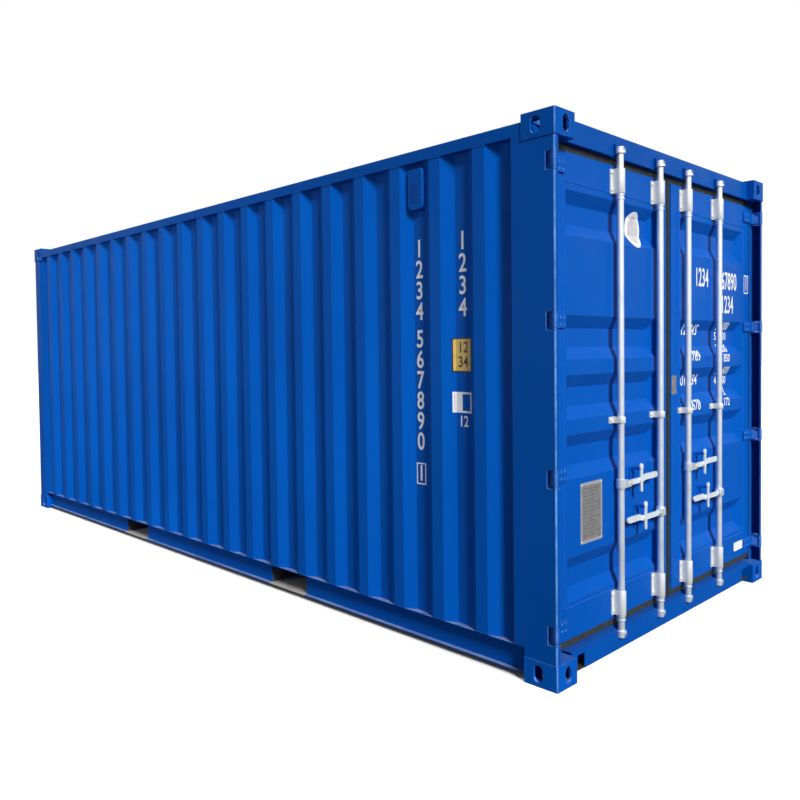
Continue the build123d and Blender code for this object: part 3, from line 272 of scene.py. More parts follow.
def blue_paint(name, tone, scuff, wave, sheen_low, sheen_high, dust_and_skylight_share, edge=0.0, jamb_shade=0.0):
    """Semi-gloss blue paint over slightly wavy steel, with faint runs, scuffed edges and paler upward
    faces, partly settled dust and partly painted sky light on the tops.

    The edge share pales rounded bends, partly bared paint and partly a painted highlight along the bends,
    and the jamb shade share paints shade on faces turned to the other side, where the jamb lies in shadow.
    """
    material, tree, surface = new_shader(name)
    place = own_coordinates(tree)
    blotch = fade(tree, noise(tree, place, 0.8, 3.0), 0.32, 0.68)
    colour = mix(tree, blotch, toned(DEEP_BLUE, tone), toned(BLUE, tone))
    runs = fade(tree, noise(tree, place, 9.0, 5.0, (1.0, 1.0, 0.05)), 0.56, 0.74, 0.0, 0.14)
    colour = mix(tree, runs, colour, PALE_BLUE)
    dust = fade(tree, noise(tree, place, 38.0, 8.0), 0.56, 0.80, 0.0, 0.10)
    colour = mix(tree, dust, colour, PALE_BLUE)
    patchy = fade(tree, noise(tree, place, 55.0, 6.0), 0.45, 0.62)
    rubbed = times(tree, times(tree, worn_edges(tree, 0.004), patchy), scuff)
    colour = mix(tree, rubbed, colour, WORN_BLUE)
    chips = fade(tree, noise(tree, place, 130.0, 3.0), 0.70, 0.74)
    colour = mix(tree, times(tree, times(tree, worn_edges(tree, 0.003), chips), scuff), colour, RUST)
    # Paler rounded bends: partly bared paint, partly a painted highlight where the bends catch the light
    if edge:
        bared_and_highlight = fade(tree, noise(tree, place, 24.0, 5.0), 0.35, 0.65, 0.5 * edge, edge)
        colour = mix(tree, times(tree, turned_edges(tree), bared_and_highlight), colour, BARED_AND_HIGHLIGHT_BLUE)
    # Painted shade on faces turned across to the other side, the shadowed jamb beside a door
    if jamb_shade:
        colour = mix(tree, times(tree, inward_faces(tree, place), jamb_shade), colour, SHADE_BLUE)
    # Paler upward faces: partly settled dust, partly painted sky light on the tops
    dust_and_skylight = fade(tree, noise(tree, place, 14.0, 6.0), 0.30, 0.62, 0.4 * dust_and_skylight_share, dust_and_skylight_share)
    colour = mix(tree, times(tree, upward_faces(tree), dust_and_skylight), colour, DUST_AND_SKYLIGHT)
    tree.links.new(colour, surface.inputs["Base Color"])
    gloss = fade(tree, noise(tree, place, 6.0, 6.0), 0.3, 0.7, sheen_low, sheen_high)
    tree.links.new(gloss, surface.inputs["Roughness"])
    surface.inputs["Specular IOR Level"].default_value = 0.04
    waves = bump(tree, noise(tree, place, 3.2, 1.0), wave, 0.01)
    peel = bump(tree, noise(tree, place, 420.0, 2.0), 0.05, 0.0004, waves)
    tree.links.new(peel, surface.inputs["Normal"])
    return material


def zinc_steel(name, bright, dull, metallic, rough_low, rough_high):
    """Galvanised or bare steel with a fine spangle, dull patches and rain marks."""
    material, tree, surface = new_shader(name)
    place = own_coordinates(tree)
    spangle = tree.nodes.new("ShaderNodeTexVoronoi")
    spangle.inputs["Scale"].default_value = 140.0
    tree.links.new(place, spangle.inputs["Vector"])
    grain = fade(tree, spangle.outputs["Color"], 0.0, 1.0, 0.0, 0.15)
    colour = mix(tree, grain, bright, dull)
    patches = fade(tree, noise(tree, place, 16.0, 6.0, (1.0, 1.0, 0.3)), 0.52, 0.72, 0.0, 0.6)
    colour = mix(tree, patches, colour, dull)
    stain = fade(tree, noise(tree, place, 44.0, 6.0), 0.66, 0.76, 0.0, 0.15)
    colour = mix(tree, stain, colour, RUST)
    tree.links.new(colour, surface.inputs["Base Color"])
    surface.inputs["Metallic"].default_value = metallic
    gloss = fade(tree, noise(tree, place, 30.0, 5.0), 0.3, 0.7, rough_low, rough_high)
    tree.links.new(gloss, surface.inputs["Roughness"])
    tree.links.new(bump(tree, noise(tree, place, 220.0, 3.0), 0.12, 0.0006), surface.inputs["Normal"])
    return material


def seal_rubber(name):
    """Matt black rubber with a grey bloom."""
    material, tree, surface = new_shader(name)
    place = own_coordinates(tree)
    bloom = fade(tree, noise(tree, place, 26.0, 6.0), 0.48, 0.75, 0.0, 0.5)
    tree.links.new(mix(tree, bloom, RUBBER, RUBBER_BLOOM), surface.inputs["Base Color"])
    gloss = fade(tree, noise(tree, place, 60.0, 4.0), 0.3, 0.7, 0.48, 0.72)
    tree.links.new(gloss, surface.inputs["Roughness"])
    surface.inputs["Specular IOR Level"].default_value = 0.3
    tree.links.new(bump(tree, noise(tree, place, 300.0, 3.0), 0.15, 0.0006), surface.inputs["Normal"])
    return material


def floor_ply(name):
    """Sealed plywood sheets, grain along the container, with seams and rub marks."""
    material, tree, surface = new_shader(name)
    place = own_coordinates(tree)
    sheets = tree.nodes.new("ShaderNodeTexBrick")
    sheets.offset = 0.0
    sheets.inputs["Scale"].default_value = 1.0
    sheets.inputs["Mortar Size"].default_value = 0.002
    sheets.inputs["Brick Width"].default_value = 1.16
    sheets.inputs["Row Height"].default_value = 2.40
    sheets.inputs["Color1"].default_value = (0.42, 0.42, 0.42, 1.0)
    sheets.inputs["Color2"].default_value = (0.62, 0.62, 0.62, 1.0)
    sheets.inputs["Mortar"].default_value = (0.0, 0.0, 0.0, 1.0)
    tree.links.new(place, sheets.inputs["Vector"])
    grain = noise(tree, place, 34.0, 8.0, (1.0, 0.06, 1.0))
    colour = mix(tree, fade(tree, grain, 0.35, 0.68), PLY_DARK, PLY)
    colour = mix(tree, fade(tree, sheets.outputs["Color"], 0.4, 0.65, 0.25, 0.0), colour, PLY_DARK)
    rubs = fade(tree, noise(tree, place, 4.0, 8.0, (1.0, 0.25, 1.0)), 0.56, 0.78, 0.0, 0.45)
    colour = mix(tree, rubs, colour, PLY_RUBBED)
    tree.links.new(colour, surface.inputs["Base Color"])
    tree.links.new(fade(tree, grain, 0.3, 0.7, 0.42, 0.62), surface.inputs["Roughness"])
    seams = bump(tree, sheets.outputs["Color"], 0.5, 0.002)
    tree.links.new(bump(tree, grain, 0.15, 0.001, seams), surface.inputs["Normal"])
    return material


def undercoat(name):
    """Thick dark coating under the floor."""
    material, tree, surface = new_shader(name)
    place = own_coordinates(tree)
    patches = fade(tree, noise(tree, place, 7.0, 6.0), 0.4, 0.7)
    tree.links.new(mix(tree, patches, UNDERCOAT, DUSTY_UNDERCOAT), surface.inputs["Base Color"])
    tree.links.new(fade(tree, noise(tree, place, 50.0), 0.3, 0.7, 0.55, 0.8), surface.inputs["Roughness"])
    tree.links.new(bump(tree, noise(tree, place, 90.0, 4.0), 0.3, 0.002), surface.inputs["Normal"])
    return material


def flat_mark(name, colour, soiled, wear):
    """Thin film or stencilled paint, a little soiled and rubbed."""
    material, tree, surface = new_shader(name)
    place = own_coordinates(tree)
    soil = fade(tree, noise(tree, place, 30.0, 6.0), 0.45, 0.75, 0.0, wear)
    tree.links.new(mix(tree, soil, colour, soiled), surface.inputs["Base Color"])
    tree.links.new(fade(tree, noise(tree, place, 70.0), 0.3, 0.7, 0.38, 0.58), surface.inputs["Roughness"])
    tree.links.new(bump(tree, noise(tree, place, 500.0, 2.0), 0.06, 0.0004), surface.inputs["Normal"])
    return material


WALL_PAINT = blue_paint("wall_paint", 1.08, 0.25, 0.10, 0.34, 0.48, 0.10)
DOOR_PAINT = blue_paint("door_paint", 1.03, 0.35, 0.08, 0.30, 0.44, 0.0)
FRAME_PAINT = blue_paint("frame_paint", 0.92, 0.50, 0.05, 0.34, 0.50, 0.04)
# Door posts: paler bends, part wear and part painted highlight, and painted shade in their jambs
POST_PAINT = blue_paint("post_paint", 0.92, 0.50, 0.05, 0.34, 0.50, 0.04, edge=1.0, jamb_shade=0.8)
HEADER_PAINT = blue_paint("header_paint", 0.85, 0.50, 0.05, 0.34, 0.50, 0.04, edge=0.35)
HINGE_PAINT = blue_paint("hinge_paint", 1.0, 0.70, 0.05, 0.34, 0.50, 0.10, edge=0.70)
BEAD_PAINT = blue_paint("bead_paint", 1.30, 0.50, 0.05, 0.34, 0.50, 0.30)
# Bottom rails: paler ledge tops, part dust and part painted sky light
RAIL_PAINT = blue_paint("rail_paint", 0.98, 0.50, 0.05, 0.34, 0.50, 0.72, edge=0.25)
CASTING_PAINT = blue_paint("casting_paint", 0.90, 0.85, 0.16, 0.40, 0.58, 0.16, edge=0.80)
FOOT_PAINT = blue_paint("foot_paint", 1.10, 0.85, 0.16, 0.40, 0.58, 0.16, edge=0.80)
ZINC_STEEL = zinc_steel("zinc_steel", ZINC, DULL_ZINC, 0.55, 0.32, 0.46)
HANDLE_ZINC = zinc_steel("handle_zinc", PALE_ZINC, DULL_PALE, 0.25, 0.36, 0.50)
ZINC_PLATE = zinc_steel("zinc_plate", CREAM_ZINC, DULL_CREAM, 0.20, 0.42, 0.56)
BRASSY_ZINC = zinc_steel("brassy_zinc", BRASSY, DULL_BRASSY, 0.40, 0.34, 0.50)
BARE_STEEL = zinc_steel("bare_steel", STEEL, DULL_STEEL, 0.0, 0.50, 0.70)
SEAL_RUBBER = seal_rubber("seal_rubber")
FLOOR_PLY = floor_ply("floor_ply")
UNDER_COAT = undercoat("undercoat")
WHITE_MARK = flat_mark("white_mark", WHITE, SOILED_WHITE, 0.18)
PALE_FIELD = flat_mark("pale_field", PALE_GREY, SOILED_GREY, 0.7)
YELLOW_MARK = flat_mark("yellow_mark", YELLOW, SOILED_YELLOW, 0.40)
DARK_MARK = flat_mark("dark_mark", BLACK, WORN_BLACK, 0.5)
LINE_MARK = flat_mark("line_mark", LINE_GREY, WORN_LINE, 0.6)
PALE_PLATE = flat_mark("pale_plate", PLATE_RIM, SOILED_RIM, 0.6)
GREY_PLATE = flat_mark("grey_plate", PLATE_GREY, SOILED_PLATE, 0.9)

NODE_PAINT = {
    "left_wall": WALL_PAINT,
    "right_wall": WALL_PAINT,
    "front_wall": WALL_PAINT,
    "roof": WALL_PAINT,
    "bottom_corner_castings": FOOT_PAINT,
    "top_corner_castings": CASTING_PAINT,
    "left_bottom_rail": RAIL_PAINT,
    "right_bottom_rail": RAIL_PAINT,
    "fork_pocket_tops": RAIL_PAINT,
    "fork_pocket_straps": BARE_STEEL,
    "door_header": HEADER_PAINT,
    "left_door_post": POST_PAINT,
    "right_door_post": POST_PAINT,
    "floor_boards": FLOOR_PLY,
    "cross_members": UNDER_COAT,
    "fork_pocket_webs": UNDER_COAT,
}
for side in ("left", "right"):
    NODE_PAINT[f"{side}_door_stiles"] = DOOR_PAINT
    NODE_PAINT[f"{side}_door_rails"] = DOOR_PAINT
    NODE_PAINT[f"{side}_door_panel"] = DOOR_PAINT
    NODE_PAINT[f"{side}_door_hinges"] = HINGE_PAINT
    NODE_PAINT[f"{side}_hinge_lugs"] = HINGE_PAINT
    NODE_PAINT[f"{side}_door_seal"] = SEAL_RUBBER
    NODE_PAINT[f"{side}_rod_guides"] = ZINC_PLATE
    NODE_PAINT[f"{side}_handle_catches"] = DOOR_PAINT
for number in range(1, 5):
    NODE_PAINT[f"lock_rod_{number}"] = ZINC_STEEL
    NODE_PAINT[f"handle_{number}"] = HANDLE_ZINC

# Rounded edges of the solid nodes; the thin pressed sheets keep their folds
EDGE_ROUNDING = {
    "bottom_corner_castings": 0.005,
    "top_corner_castings": 0.005,
    "left_door_post": 0.0015,
    "right_door_post": 0.0015,
    "left_front_post": 0.0015,
    "right_front_post": 0.0015,
    "left_top_rail": 0.0025,
    "right_top_rail": 0.0025,
    "front_top_rail": 0.0025,
    "door_header": 0.0012,
    "door_sill": 0.0012,
    "ventilators": 0.0015,
    "cam_keepers": 0.0012,
}
for side in ("left", "right"):
    EDGE_ROUNDING[f"{side}_door_stiles"] = 0.002
    EDGE_ROUNDING[f"{side}_door_hinges"] = 0.0012
    EDGE_ROUNDING[f"{side}_rod_guides"] = 0.001
    EDGE_ROUNDING[f"{side}_handle_catches"] = 0.001
    EDGE_ROUNDING[f"{side}_door_seal"] = 0.001
for number in range(1, 5):
    EDGE_ROUNDING[f"handle_{number}"] = 0.0015

for name, node in nodes.items():
    node.data.materials.clear()
    node.data.materials.append(NODE_PAINT.get(name, FRAME_PAINT))
    if name in EDGE_ROUNDING:
        weld = node.modifiers.new("joined", "WELD")
        weld.merge_threshold = 0.00002
        rounding = node.modifiers.new("rounded", "BEVEL")
        rounding.width = EDGE_ROUNDING[name]
        rounding.segments = 2
        rounding.limit_method = "ANGLE"
        rounding.angle_limit = math.radians(35)
        rounding.harden_normals = True


# Mesh helpers

def finish_piece(name, shape, body, material):
    """Turns a built shape into a piece that moves with a body."""
    mesh = bpy.data.meshes.new(name)
    bmesh.ops.recalc_face_normals(shape, faces=shape.faces)
    shape.to_mesh(mesh)
    shape.free()
    mesh.materials.append(material)
    piece = bpy.data.objects.new(name, mesh)
    scene.collection.objects.link(piece)
    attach(piece, body)
    return piece


def facing(centre, outward):
    """A placement at the centre with its own Z along outward."""
    return Matrix.Translation(centre) @ Vector(outward).to_track_quat("Z", "Y").to_matrix().to_4x4()


def ring_stack(shape, placement, rings, sides):
    """Joins rings of (radius, height) into one closed turned form."""
    loops = []
    for radius, height in rings:
        loop = []
        for step in range(sides):
            turn = 2 * math.pi * step / sides
            point = Vector((radius * math.cos(turn), radius * math.sin(turn), height))
            loop.append(shape.verts.new(placement @ point))
        loops.append(loop)
    for low, high in zip(loops, loops[1:]):
        for step in range(sides):
            after = (step + 1) % sides
            shape.faces.new((low[step], low[after], high[after], high[step]))
    shape.faces.new(loops[0])
    shape.faces.new(loops[-1])


def bolt_head(shape, centre, outward, radius):
    """A hexagon head on a round washer."""
    placement = facing(centre, outward)
    washer = [(1.55 * radius, 0.0), (1.55 * radius, 0.16 * radius), (1.35 * radius, 0.26 * radius)]
    ring_stack(shape, placement, washer, 20)
    head = [(radius, 0.2 * radius), (radius, 0.75 * radius), (0.82 * radius, 0.9 * radius)]
    ring_stack(shape, placement, head, 6)


def rivet_head(shape, centre, outward, radius):
    """A domed rivet."""
    dome = []
    for step in range(5):
        turn = math.radians(20 * step)
        dome.append((radius * math.cos(turn), 0.5 * radius * math.sin(turn)))
    ring_stack(shape, facing(centre, outward), dome, 14)


def tube(shape, points, radius, sides):
    """A bead along a line of points."""
    loops = []
    for index, point in enumerate(points):
        before = points[max(index - 1, 0)]
        after = points[min(index + 1, len(points) - 1)]
        along = (after - before).normalized()
        across = along.cross(Vector((0, 0, 1)))
        if across.length < 0.1:
            across = along.cross(Vector((0, 1, 0)))
        across.normalize()
        up = across.cross(along)
        loop = []
        for step in range(sides):
            turn = 2 * math.pi * step / sides
            loop.append(shape.verts.new(point + radius * (math.cos(turn) * across + math.sin(turn) * up)))
        loops.append(loop)
    for low, high in zip(loops, loops[1:]):
        for step in range(sides):
            after = (step + 1) % sides
            shape.faces.new((low[step], low[after], high[after], high[step]))
    shape.faces.new(loops[0])
    shape.faces.new(loops[-1])


def rounded_plate(shape, placement, width, height, thickness, corner, steps=5):
    """A flat plate with rounded corners and a small edge chamfer, standing on its placement."""
    rim = min(thickness * 0.4, corner * 0.5)
    loops = []
    for inset, level in ((0.0, 0.0), (0.0, thickness - rim), (rim, thickness)):
        loop = []
        for sx, sy, start in ((1, 1, 0), (-1, 1, 90), (-1, -1, 180), (1, -1, 270)):
            for step in range(steps + 1):
                turn = math.radians(start + 90 * step / steps)
                x = sx * (width / 2 - corner) + (corner - inset) * math.cos(turn)
                y = sy * (height / 2 - corner) + (corner - inset) * math.sin(turn)
                loop.append(shape.verts.new(placement @ Vector((x, y, level))))
        loops.append(loop)
    count = len(loops[0])
    for low, high in zip(loops, loops[1:]):
        for step in range(count):
            after = (step + 1) % count
            shape.faces.new((low[step], low[after], high[after], high[step]))
    shape.faces.new(loops[0])
    shape.faces.new(loops[-1])


# Places read from the frame
LEAF_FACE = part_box("left_door_stiles")[0].y
VALLEY_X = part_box("left_wall")[1].x - SHEET
DOOR_OUT = Vector((0, -1, 0))
LEFT_OUT = Vector((-1, 0, 0))
DOOR_TURN = Matrix(((1, 0, 0), (0, 0, -1), (0, 1, 0))).to_4x4()
LEFT_TURN = Matrix(((0, 0, -1), (-1, 0, 0), (0, 1, 0))).to_4x4()


def on_door(x, z, lift=0.0):
    """A placement on the outer face of a leaf, its Y up and its Z outwards."""
    return Matrix.Translation((x, LEAF_FACE - lift, z)) @ DOOR_TURN


def on_left_valley(y, z, lift=0.0):
    """A placement in a valley of the left wall, its Y up and its Z outwards."""
    return Matrix.Translation((VALLEY_X - lift, y, z)) @ LEFT_TURN


# Bolts on the rod guides and rivets on the hinge blades
for side, sign in (("left", -1), ("right", 1)):
    body = f"{side}_door"
    guide_low, guide_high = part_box(f"{side}_rod_guides")
    bolt_x, bolt_z = GUIDE_BOLT_SPREAD
    plate_face = LEAF_FACE - GUIDE_PLATE
    rods = sorted([rod[0] for rod in LOCK_RODS if rod[0] * sign > 0], key=abs)
    shape = bmesh.new()
    for rod_x in rods:
        for level in (guide_high.z - GUIDE_BOLT_FROM_END, guide_low.z + GUIDE_BOLT_FROM_END):
            for dx in (-bolt_x, bolt_x):
                for dz in (-bolt_z, bolt_z):
                    centre = Vector((rod_x + dx, plate_face, level + dz))
                    bolt_head(shape, centre, DOOR_OUT, FASTENER_RADIUS)
        for dx in (-MIDDLE_BOLT_SPREAD, MIDDLE_BOLT_SPREAD):
            centre = Vector((rod_x + dx, plate_face, MIDDLE_GUIDE_LEVEL))
            bolt_head(shape, centre, DOOR_OUT, FASTENER_RADIUS)
    finish_piece(f"{side}_guide_bolts", shape, body, ZINC_PLATE)

    shape = bmesh.new()
    hinge_low, hinge_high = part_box(f"{side}_door_hinges")
    blade_end = hinge_high.x if sign < 0 else hinge_low.x
    hinge_step = (hinge_high.z - hinge_low.z - 2 * HINGE_HALF_WIDTH) / 3
    for row in range(4):
        level = hinge_low.z + HINGE_HALF_WIDTH + row * hinge_step
        for back in HINGE_RIVETS_BACK:
            for dz in (-HINGE_RIVET_RISE, HINGE_RIVET_RISE):
                centre = Vector((blade_end + sign * back, LEAF_FACE - HINGE_PLATE, level + dz))
                rivet_head(shape, centre, DOOR_OUT, FASTENER_RADIUS)
    finish_piece(f"{side}_hinge_rivets", shape, body, HINGE_PAINT)

# Lips of the door seals: a rib along the outer rim of each ring and thin ribs along its top and bottom
for side in ("left", "right"):
    low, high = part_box(f"{side}_door_seal")
    inset = SEAL_RIB + 0.0005
    corners = [
        Vector((low.x + inset, low.y, low.z + inset)),
        Vector((high.x - inset, low.y, low.z + inset)),
        Vector((high.x - inset, low.y, high.z - inset)),
        Vector((low.x + inset, low.y, high.z - inset)),
    ]
    shape = bmesh.new()
    for start, end in zip(corners, corners[1:] + corners[:1]):
        tube(shape, [start, end], SEAL_RIB, 8)
    levels = [low.z + up for up in THIN_RIBS_FROM_BOTTOM] + [high.z - down for down in THIN_RIBS_FROM_TOP]
    for level in levels:
        start = Vector((low.x + THIN_RIB_ENDS[0], low.y, level))
        end = Vector((high.x - THIN_RIB_ENDS[1], low.y, level))
        tube(shape, [start, end], THIN_RIB, 6)
    finish_piece(f"{side}_seal_lips", shape, f"{side}_door", SEAL_RUBBER)


# Weld beads where the corrugated walls meet the rails

def outer_folds(node_name, axis, outward):
    """The outer line of a corrugated wall, read from the lowest points of its node."""
    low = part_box(node_name)[0].z
    line = {}
    for vertex in nodes[node_name].data.vertices:
        if vertex.co.z < low + 0.0005:
            along = round(vertex.co[1 - axis], 5)
            depth = vertex.co[axis]
            if along not in line or depth * outward > line[along] * outward:
                line[along] = depth
    return sorted(line.items())


for node_name, axis, outward in (("left_wall", 0, -1), ("right_wall", 0, 1), ("front_wall", 1, 1)):
    folds = outer_folds(node_name, axis, outward)
    low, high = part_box(node_name)
    shape = bmesh.new()
    for level in (low.z + WELD_RADIUS * 0.5, high.z - WELD_RADIUS * 0.5):
        points = []
        for along, depth in folds:
            point = Vector((0, 0, level))
            point[1 - axis] = along
            point[axis] = depth
            points.append(point)
        tube(shape, points, WELD_RADIUS, 6)
    finish_piece(f"{node_name}_welds", shape, "container", FRAME_PAINT)


# Weld beads round the pressed door panels
for side in ("left", "right"):
    low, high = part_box(f"{side}_door_panel")
    shape = bmesh.new()
    for level in (low.z, high.z):
        ends = [Vector((across, LEAF_FACE, level)) for across in (low.x, high.x)]
        tube(shape, ends, WELD_RADIUS, 6)
    for across in (low.x, high.x):
        ends = [Vector((across, LEAF_FACE, level)) for level in (low.z, high.z)]
        tube(shape, ends, WELD_RADIUS, 6)
    finish_piece(f"{side}_panel_welds", shape, f"{side}_door", BEAD_PAINT)


# Closing plates under the ends of the door sill, each between its front plate and its inner web
sill_low, sill_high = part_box("door_sill")
behind_front = sill_low.y + CLOSING_PLATE + CLOSING_WIDTH / 2
for side, edge, inward in (("left", sill_low.x, 1), ("right", sill_high.x, -1)):
    middle = Vector((edge + inward * CLOSING_LENGTH / 2, behind_front, sill_low.z))
    plate = (CLOSING_LENGTH, CLOSING_WIDTH, CLOSING_PLATE, CLOSING_CORNER)
    shape = bmesh.new()
    rounded_plate(shape, Matrix.Translation(middle), *plate, 3)
    seam_ends = (-CLOSING_SEAM, CLOSING_SEAM)
    seam = [middle + Vector((dx, CLOSING_WIDTH / 2, CLOSING_PLATE)) for dx in seam_ends]
    tube(shape, seam, WELD_RADIUS, 6)
    finish_piece(f"{side}_closing_plate", shape, "container", UNDER_COAT)


# Ventilators: a riveted tab above and below each hood and a row of louvres

def ventilator(name, low, high, outward):
    """The trim of one hood, with its tabs on the floor of the wall's valley."""
    facing_out = LEFT_TURN if outward < 0 else Matrix.Rotation(math.pi, 4, "Z") @ LEFT_TURN
    middle = (low + high) / 2
    valley = outward * abs(VALLEY_X)
    front = low.x if outward < 0 else high.x
    shape = bmesh.new()
    for edge, beyond in ((low.z, -1), (high.z, 1)):
        tab = Matrix.Translation((valley, middle.y, edge + beyond * VENT_TAB_BEYOND)) @ facing_out
        rounded_plate(shape, tab, *VENT_TAB)
        rivet_level = edge + beyond * VENT_RIVET_BEYOND
        rivet = Vector((valley + outward * VENT_TAB[2], middle.y, rivet_level))
        rivet_head(shape, rivet, Vector((outward, 0, 0)), VENT_RIVET)
    for row in range(LOUVRE_COUNT):
        level = low.z + LOUVRE_START + row * LOUVRE_PITCH
        louvre = Matrix.Translation((front, middle.y, level)) @ facing_out
        rounded_plate(shape, louvre, *LOUVRE, 3)
    finish_piece(name, shape, "container", FRAME_PAINT)


vent_points = [vertex.co for vertex in nodes["ventilators"].data.vertices]
for name, outward in (("left_vent_trim", -1), ("right_vent_trim", 1)):
    hood = [point for point in vent_points if point.x * outward > 0]
    hood_low = Vector([min(point[axis] for point in hood) for axis in range(3)])
    hood_high = Vector([max(point[axis] for point in hood) for axis in range(3)])
    ventilator(name, hood_low, hood_high, outward)


# Marks follow the folds of the face that carries them

def faces_of(*names):
    """The faces of some nodes, to find where a straight line meets them."""
    points = []
    faces = []
    for name in names:
        mesh = nodes[name].data
        start = len(points)
        points.extend(vertex.co.copy() for vertex in mesh.vertices)
        faces.extend([start + index for index in face.vertices] for face in mesh.polygons)
    return BVHTree.FromPolygons(points, faces)


def panel_folds(name):
    """The fold lines of a pressed panel, each an axis and a place on it."""
    low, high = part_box(name)
    folds = set()
    for vertex in nodes[name].data.vertices:
        if low.x + 0.001 < vertex.co.x < high.x - 0.001:
            folds.add((0, round(vertex.co.x, 5)))
            folds.add((2, round(vertex.co.z, 5)))
    return sorted(folds)


CARRIERS = {
    "left_wall": (
        faces_of("left_wall"),
        [(1, along) for along, depth in outer_folds("left_wall", 0, -1)],
        LEFT_OUT,
        VALLEY_X,
    ),
}
for side in ("left", "right"):
    leaf = [f"{side}_door_{part}" for part in ("panel", "stiles", "rails")]
    CARRIERS[f"{side}_leaf"] = (faces_of(*leaf), panel_folds(leaf[0]), DOOR_OUT, LEAF_FACE)


def lay(shape, carrier):
    """Cuts a flat mark at the folds of its carrier and sets each point as high above it as it was drawn."""
    faces, folds, outward, base = CARRIERS[carrier]
    axis = 0 if outward.x else 1
    for across, place in folds:
        point = Vector((0, 0, 0))
        point[across] = place
        normal = Vector((0, 0, 0))
        normal[across] = 1.0
        everything = shape.verts[:] + shape.edges[:] + shape.faces[:]
        bmesh.ops.bisect_plane(shape, geom=everything, dist=1e-6, plane_co=point, plane_no=normal)
    off_the_folds = Vector((3e-6, 3e-6, 3e-6))
    for vertex in shape.verts:
        met = faces.ray_cast(vertex.co + 0.2 * outward + off_the_folds, -outward)[0]
        vertex.co[axis] += met[axis] - base


def mark_body(carrier):
    """The body that a mark's carrier belongs to."""
    return "container" if carrier == "left_wall" else carrier.replace("leaf", "door")


def place_on(carrier, along, z, lift):
    """A placement on a carrier, at a place along it and a height."""
    return on_left_valley(along, z, lift) if carrier == "left_wall" else on_door(along, z, lift)


def numerals(name, text, height, carrier, along, z, material=WHITE_MARK, lift=MARK_LIFT, width=0.82):
    """A line of plain bold numerals, centred on its place."""
    curve = bpy.data.curves.new(name, "FONT")
    curve.body = text
    curve.size = height / 0.69
    curve.align_x = "CENTER"
    curve.align_y = "CENTER"
    curve.offset = 0.02 * height
    curve.extrude = 0.0002
    curve.resolution_u = 4
    drawn = bpy.data.objects.new(name, curve)
    scene.collection.objects.link(drawn)
    bpy.context.view_layer.update()
    mesh = bpy.data.meshes.new_from_object(drawn.evaluated_get(bpy.context.evaluated_depsgraph_get()))
    bpy.data.objects.remove(drawn)
    mesh.transform(place_on(carrier, along, z, lift) @ Matrix.Diagonal((width, 1.0, 1.0, 1.0)))
    shape = bmesh.new()
    shape.from_mesh(mesh)
    bpy.data.meshes.remove(mesh)
    bmesh.ops.remove_doubles(shape, verts=shape.verts, dist=1e-6)
    lay(shape, carrier)
    return finish_piece(name, shape, mark_body(carrier), material)


def film(name, carrier, along, z, plates, material, lift=MARK_LIFT):
    """Flat film in rounded pieces, each an offset, a size, a thickness and a corner radius."""
    shape = bmesh.new()
    spot = place_on(carrier, along, z, lift)
    for dx, dz, width, height, thickness, corner in plates:
        rounded_plate(shape, spot @ Matrix.Translation((dx, dz, 0)), width, height, thickness, corner, 3)
    lay(shape, carrier)
    return finish_piece(name, shape, mark_body(carrier), material)


def outline(width, height, stroke):
    """The four bars of a square-cornered frame."""
    bar = (height - stroke) / 2
    post = (width - stroke) / 2
    inner = height - 2 * stroke
    return [
        (0, bar, width, stroke, 0.0003, 0.0006),
        (0, -bar, width, stroke, 0.0003, 0.0006),
        (post, 0, stroke, inner, 0.0003, 0.0006),
        (-post, 0, stroke, inner, 0.0003, 0.0006),
    ]


def oval(name, carrier, along, z, width, height, thickness, material, lift):
    """A thin oval label."""
    shape = bmesh.new()
    spot = place_on(carrier, along, z, lift) @ Matrix.Diagonal((width / 2, height / 2, 1.0, 1.0))
    ring_stack(shape, spot, [(1.0, 0.0), (1.0, 0.6 * thickness), (0.98, thickness)], 56)
    lay(shape, carrier)
    return finish_piece(name, shape, mark_body(carrier), material)


def column(name, digits, along, top, step):
    """Numerals one below the other on the left wall."""
    for row, digit in enumerate(digits):
        numerals(f"{name}_{row + 1}", digit, COLUMN_HEIGHT, "left_wall", along, top - step * row)


# Left wall: a long and a short column of numerals, a yellow plate, a white box and two small numerals
LONG_COLUMN_Y = -2.187
SHORT_COLUMN_Y = -2.4755
COLUMN_HEIGHT = 0.088
CHECK_LEVEL = 0.888
HEIGHT_PLATE_LEVEL = 1.508
column("side_group", "1234", LONG_COLUMN_Y, 2.057, 0.1085)
column("side_numeral", "567890", LONG_COLUMN_Y, 1.589, 0.107)
numerals("side_check_numeral", "1", 0.080, "left_wall", LONG_COLUMN_Y, CHECK_LEVEL)
check_frame = outline(0.066, 0.114, 0.007)
film("side_check_frame", "left_wall", LONG_COLUMN_Y, CHECK_LEVEL, check_frame, WHITE_MARK)
column("size_numeral", "1234", SHORT_COLUMN_Y, 2.069, 0.110)
plate_rim = [(0, 0, 0.131, 0.169, 0.0008, 0.006)]
film("height_plate_rim", "left_wall", SHORT_COLUMN_Y, HEIGHT_PLATE_LEVEL, plate_rim, DARK_MARK)
plate_field = [(0, 0, 0.119, 0.157, 0.0014, 0.004)]
film("height_plate", "left_wall", SHORT_COLUMN_Y, HEIGHT_PLATE_LEVEL, plate_field, YELLOW_MARK)
for row, text in enumerate(("12", "34")):
    name = f"height_numerals_{row + 1}"
    level = 1.544 - 0.072 * row
    numerals(name, text, 0.052, "left_wall", SHORT_COLUMN_Y, level, DARK_MARK, 0.0024, 0.85)
box_bars = outline(0.129, 0.103, 0.010) + [(-0.030, 0, 0.045, 0.083, 0.0003, 0.0006)]
film("side_box", "left_wall", SHORT_COLUMN_Y, 1.273, box_bars, WHITE_MARK)
numerals("side_small_numerals", "12", 0.052, "left_wall", SHORT_COLUMN_Y, 1.177)

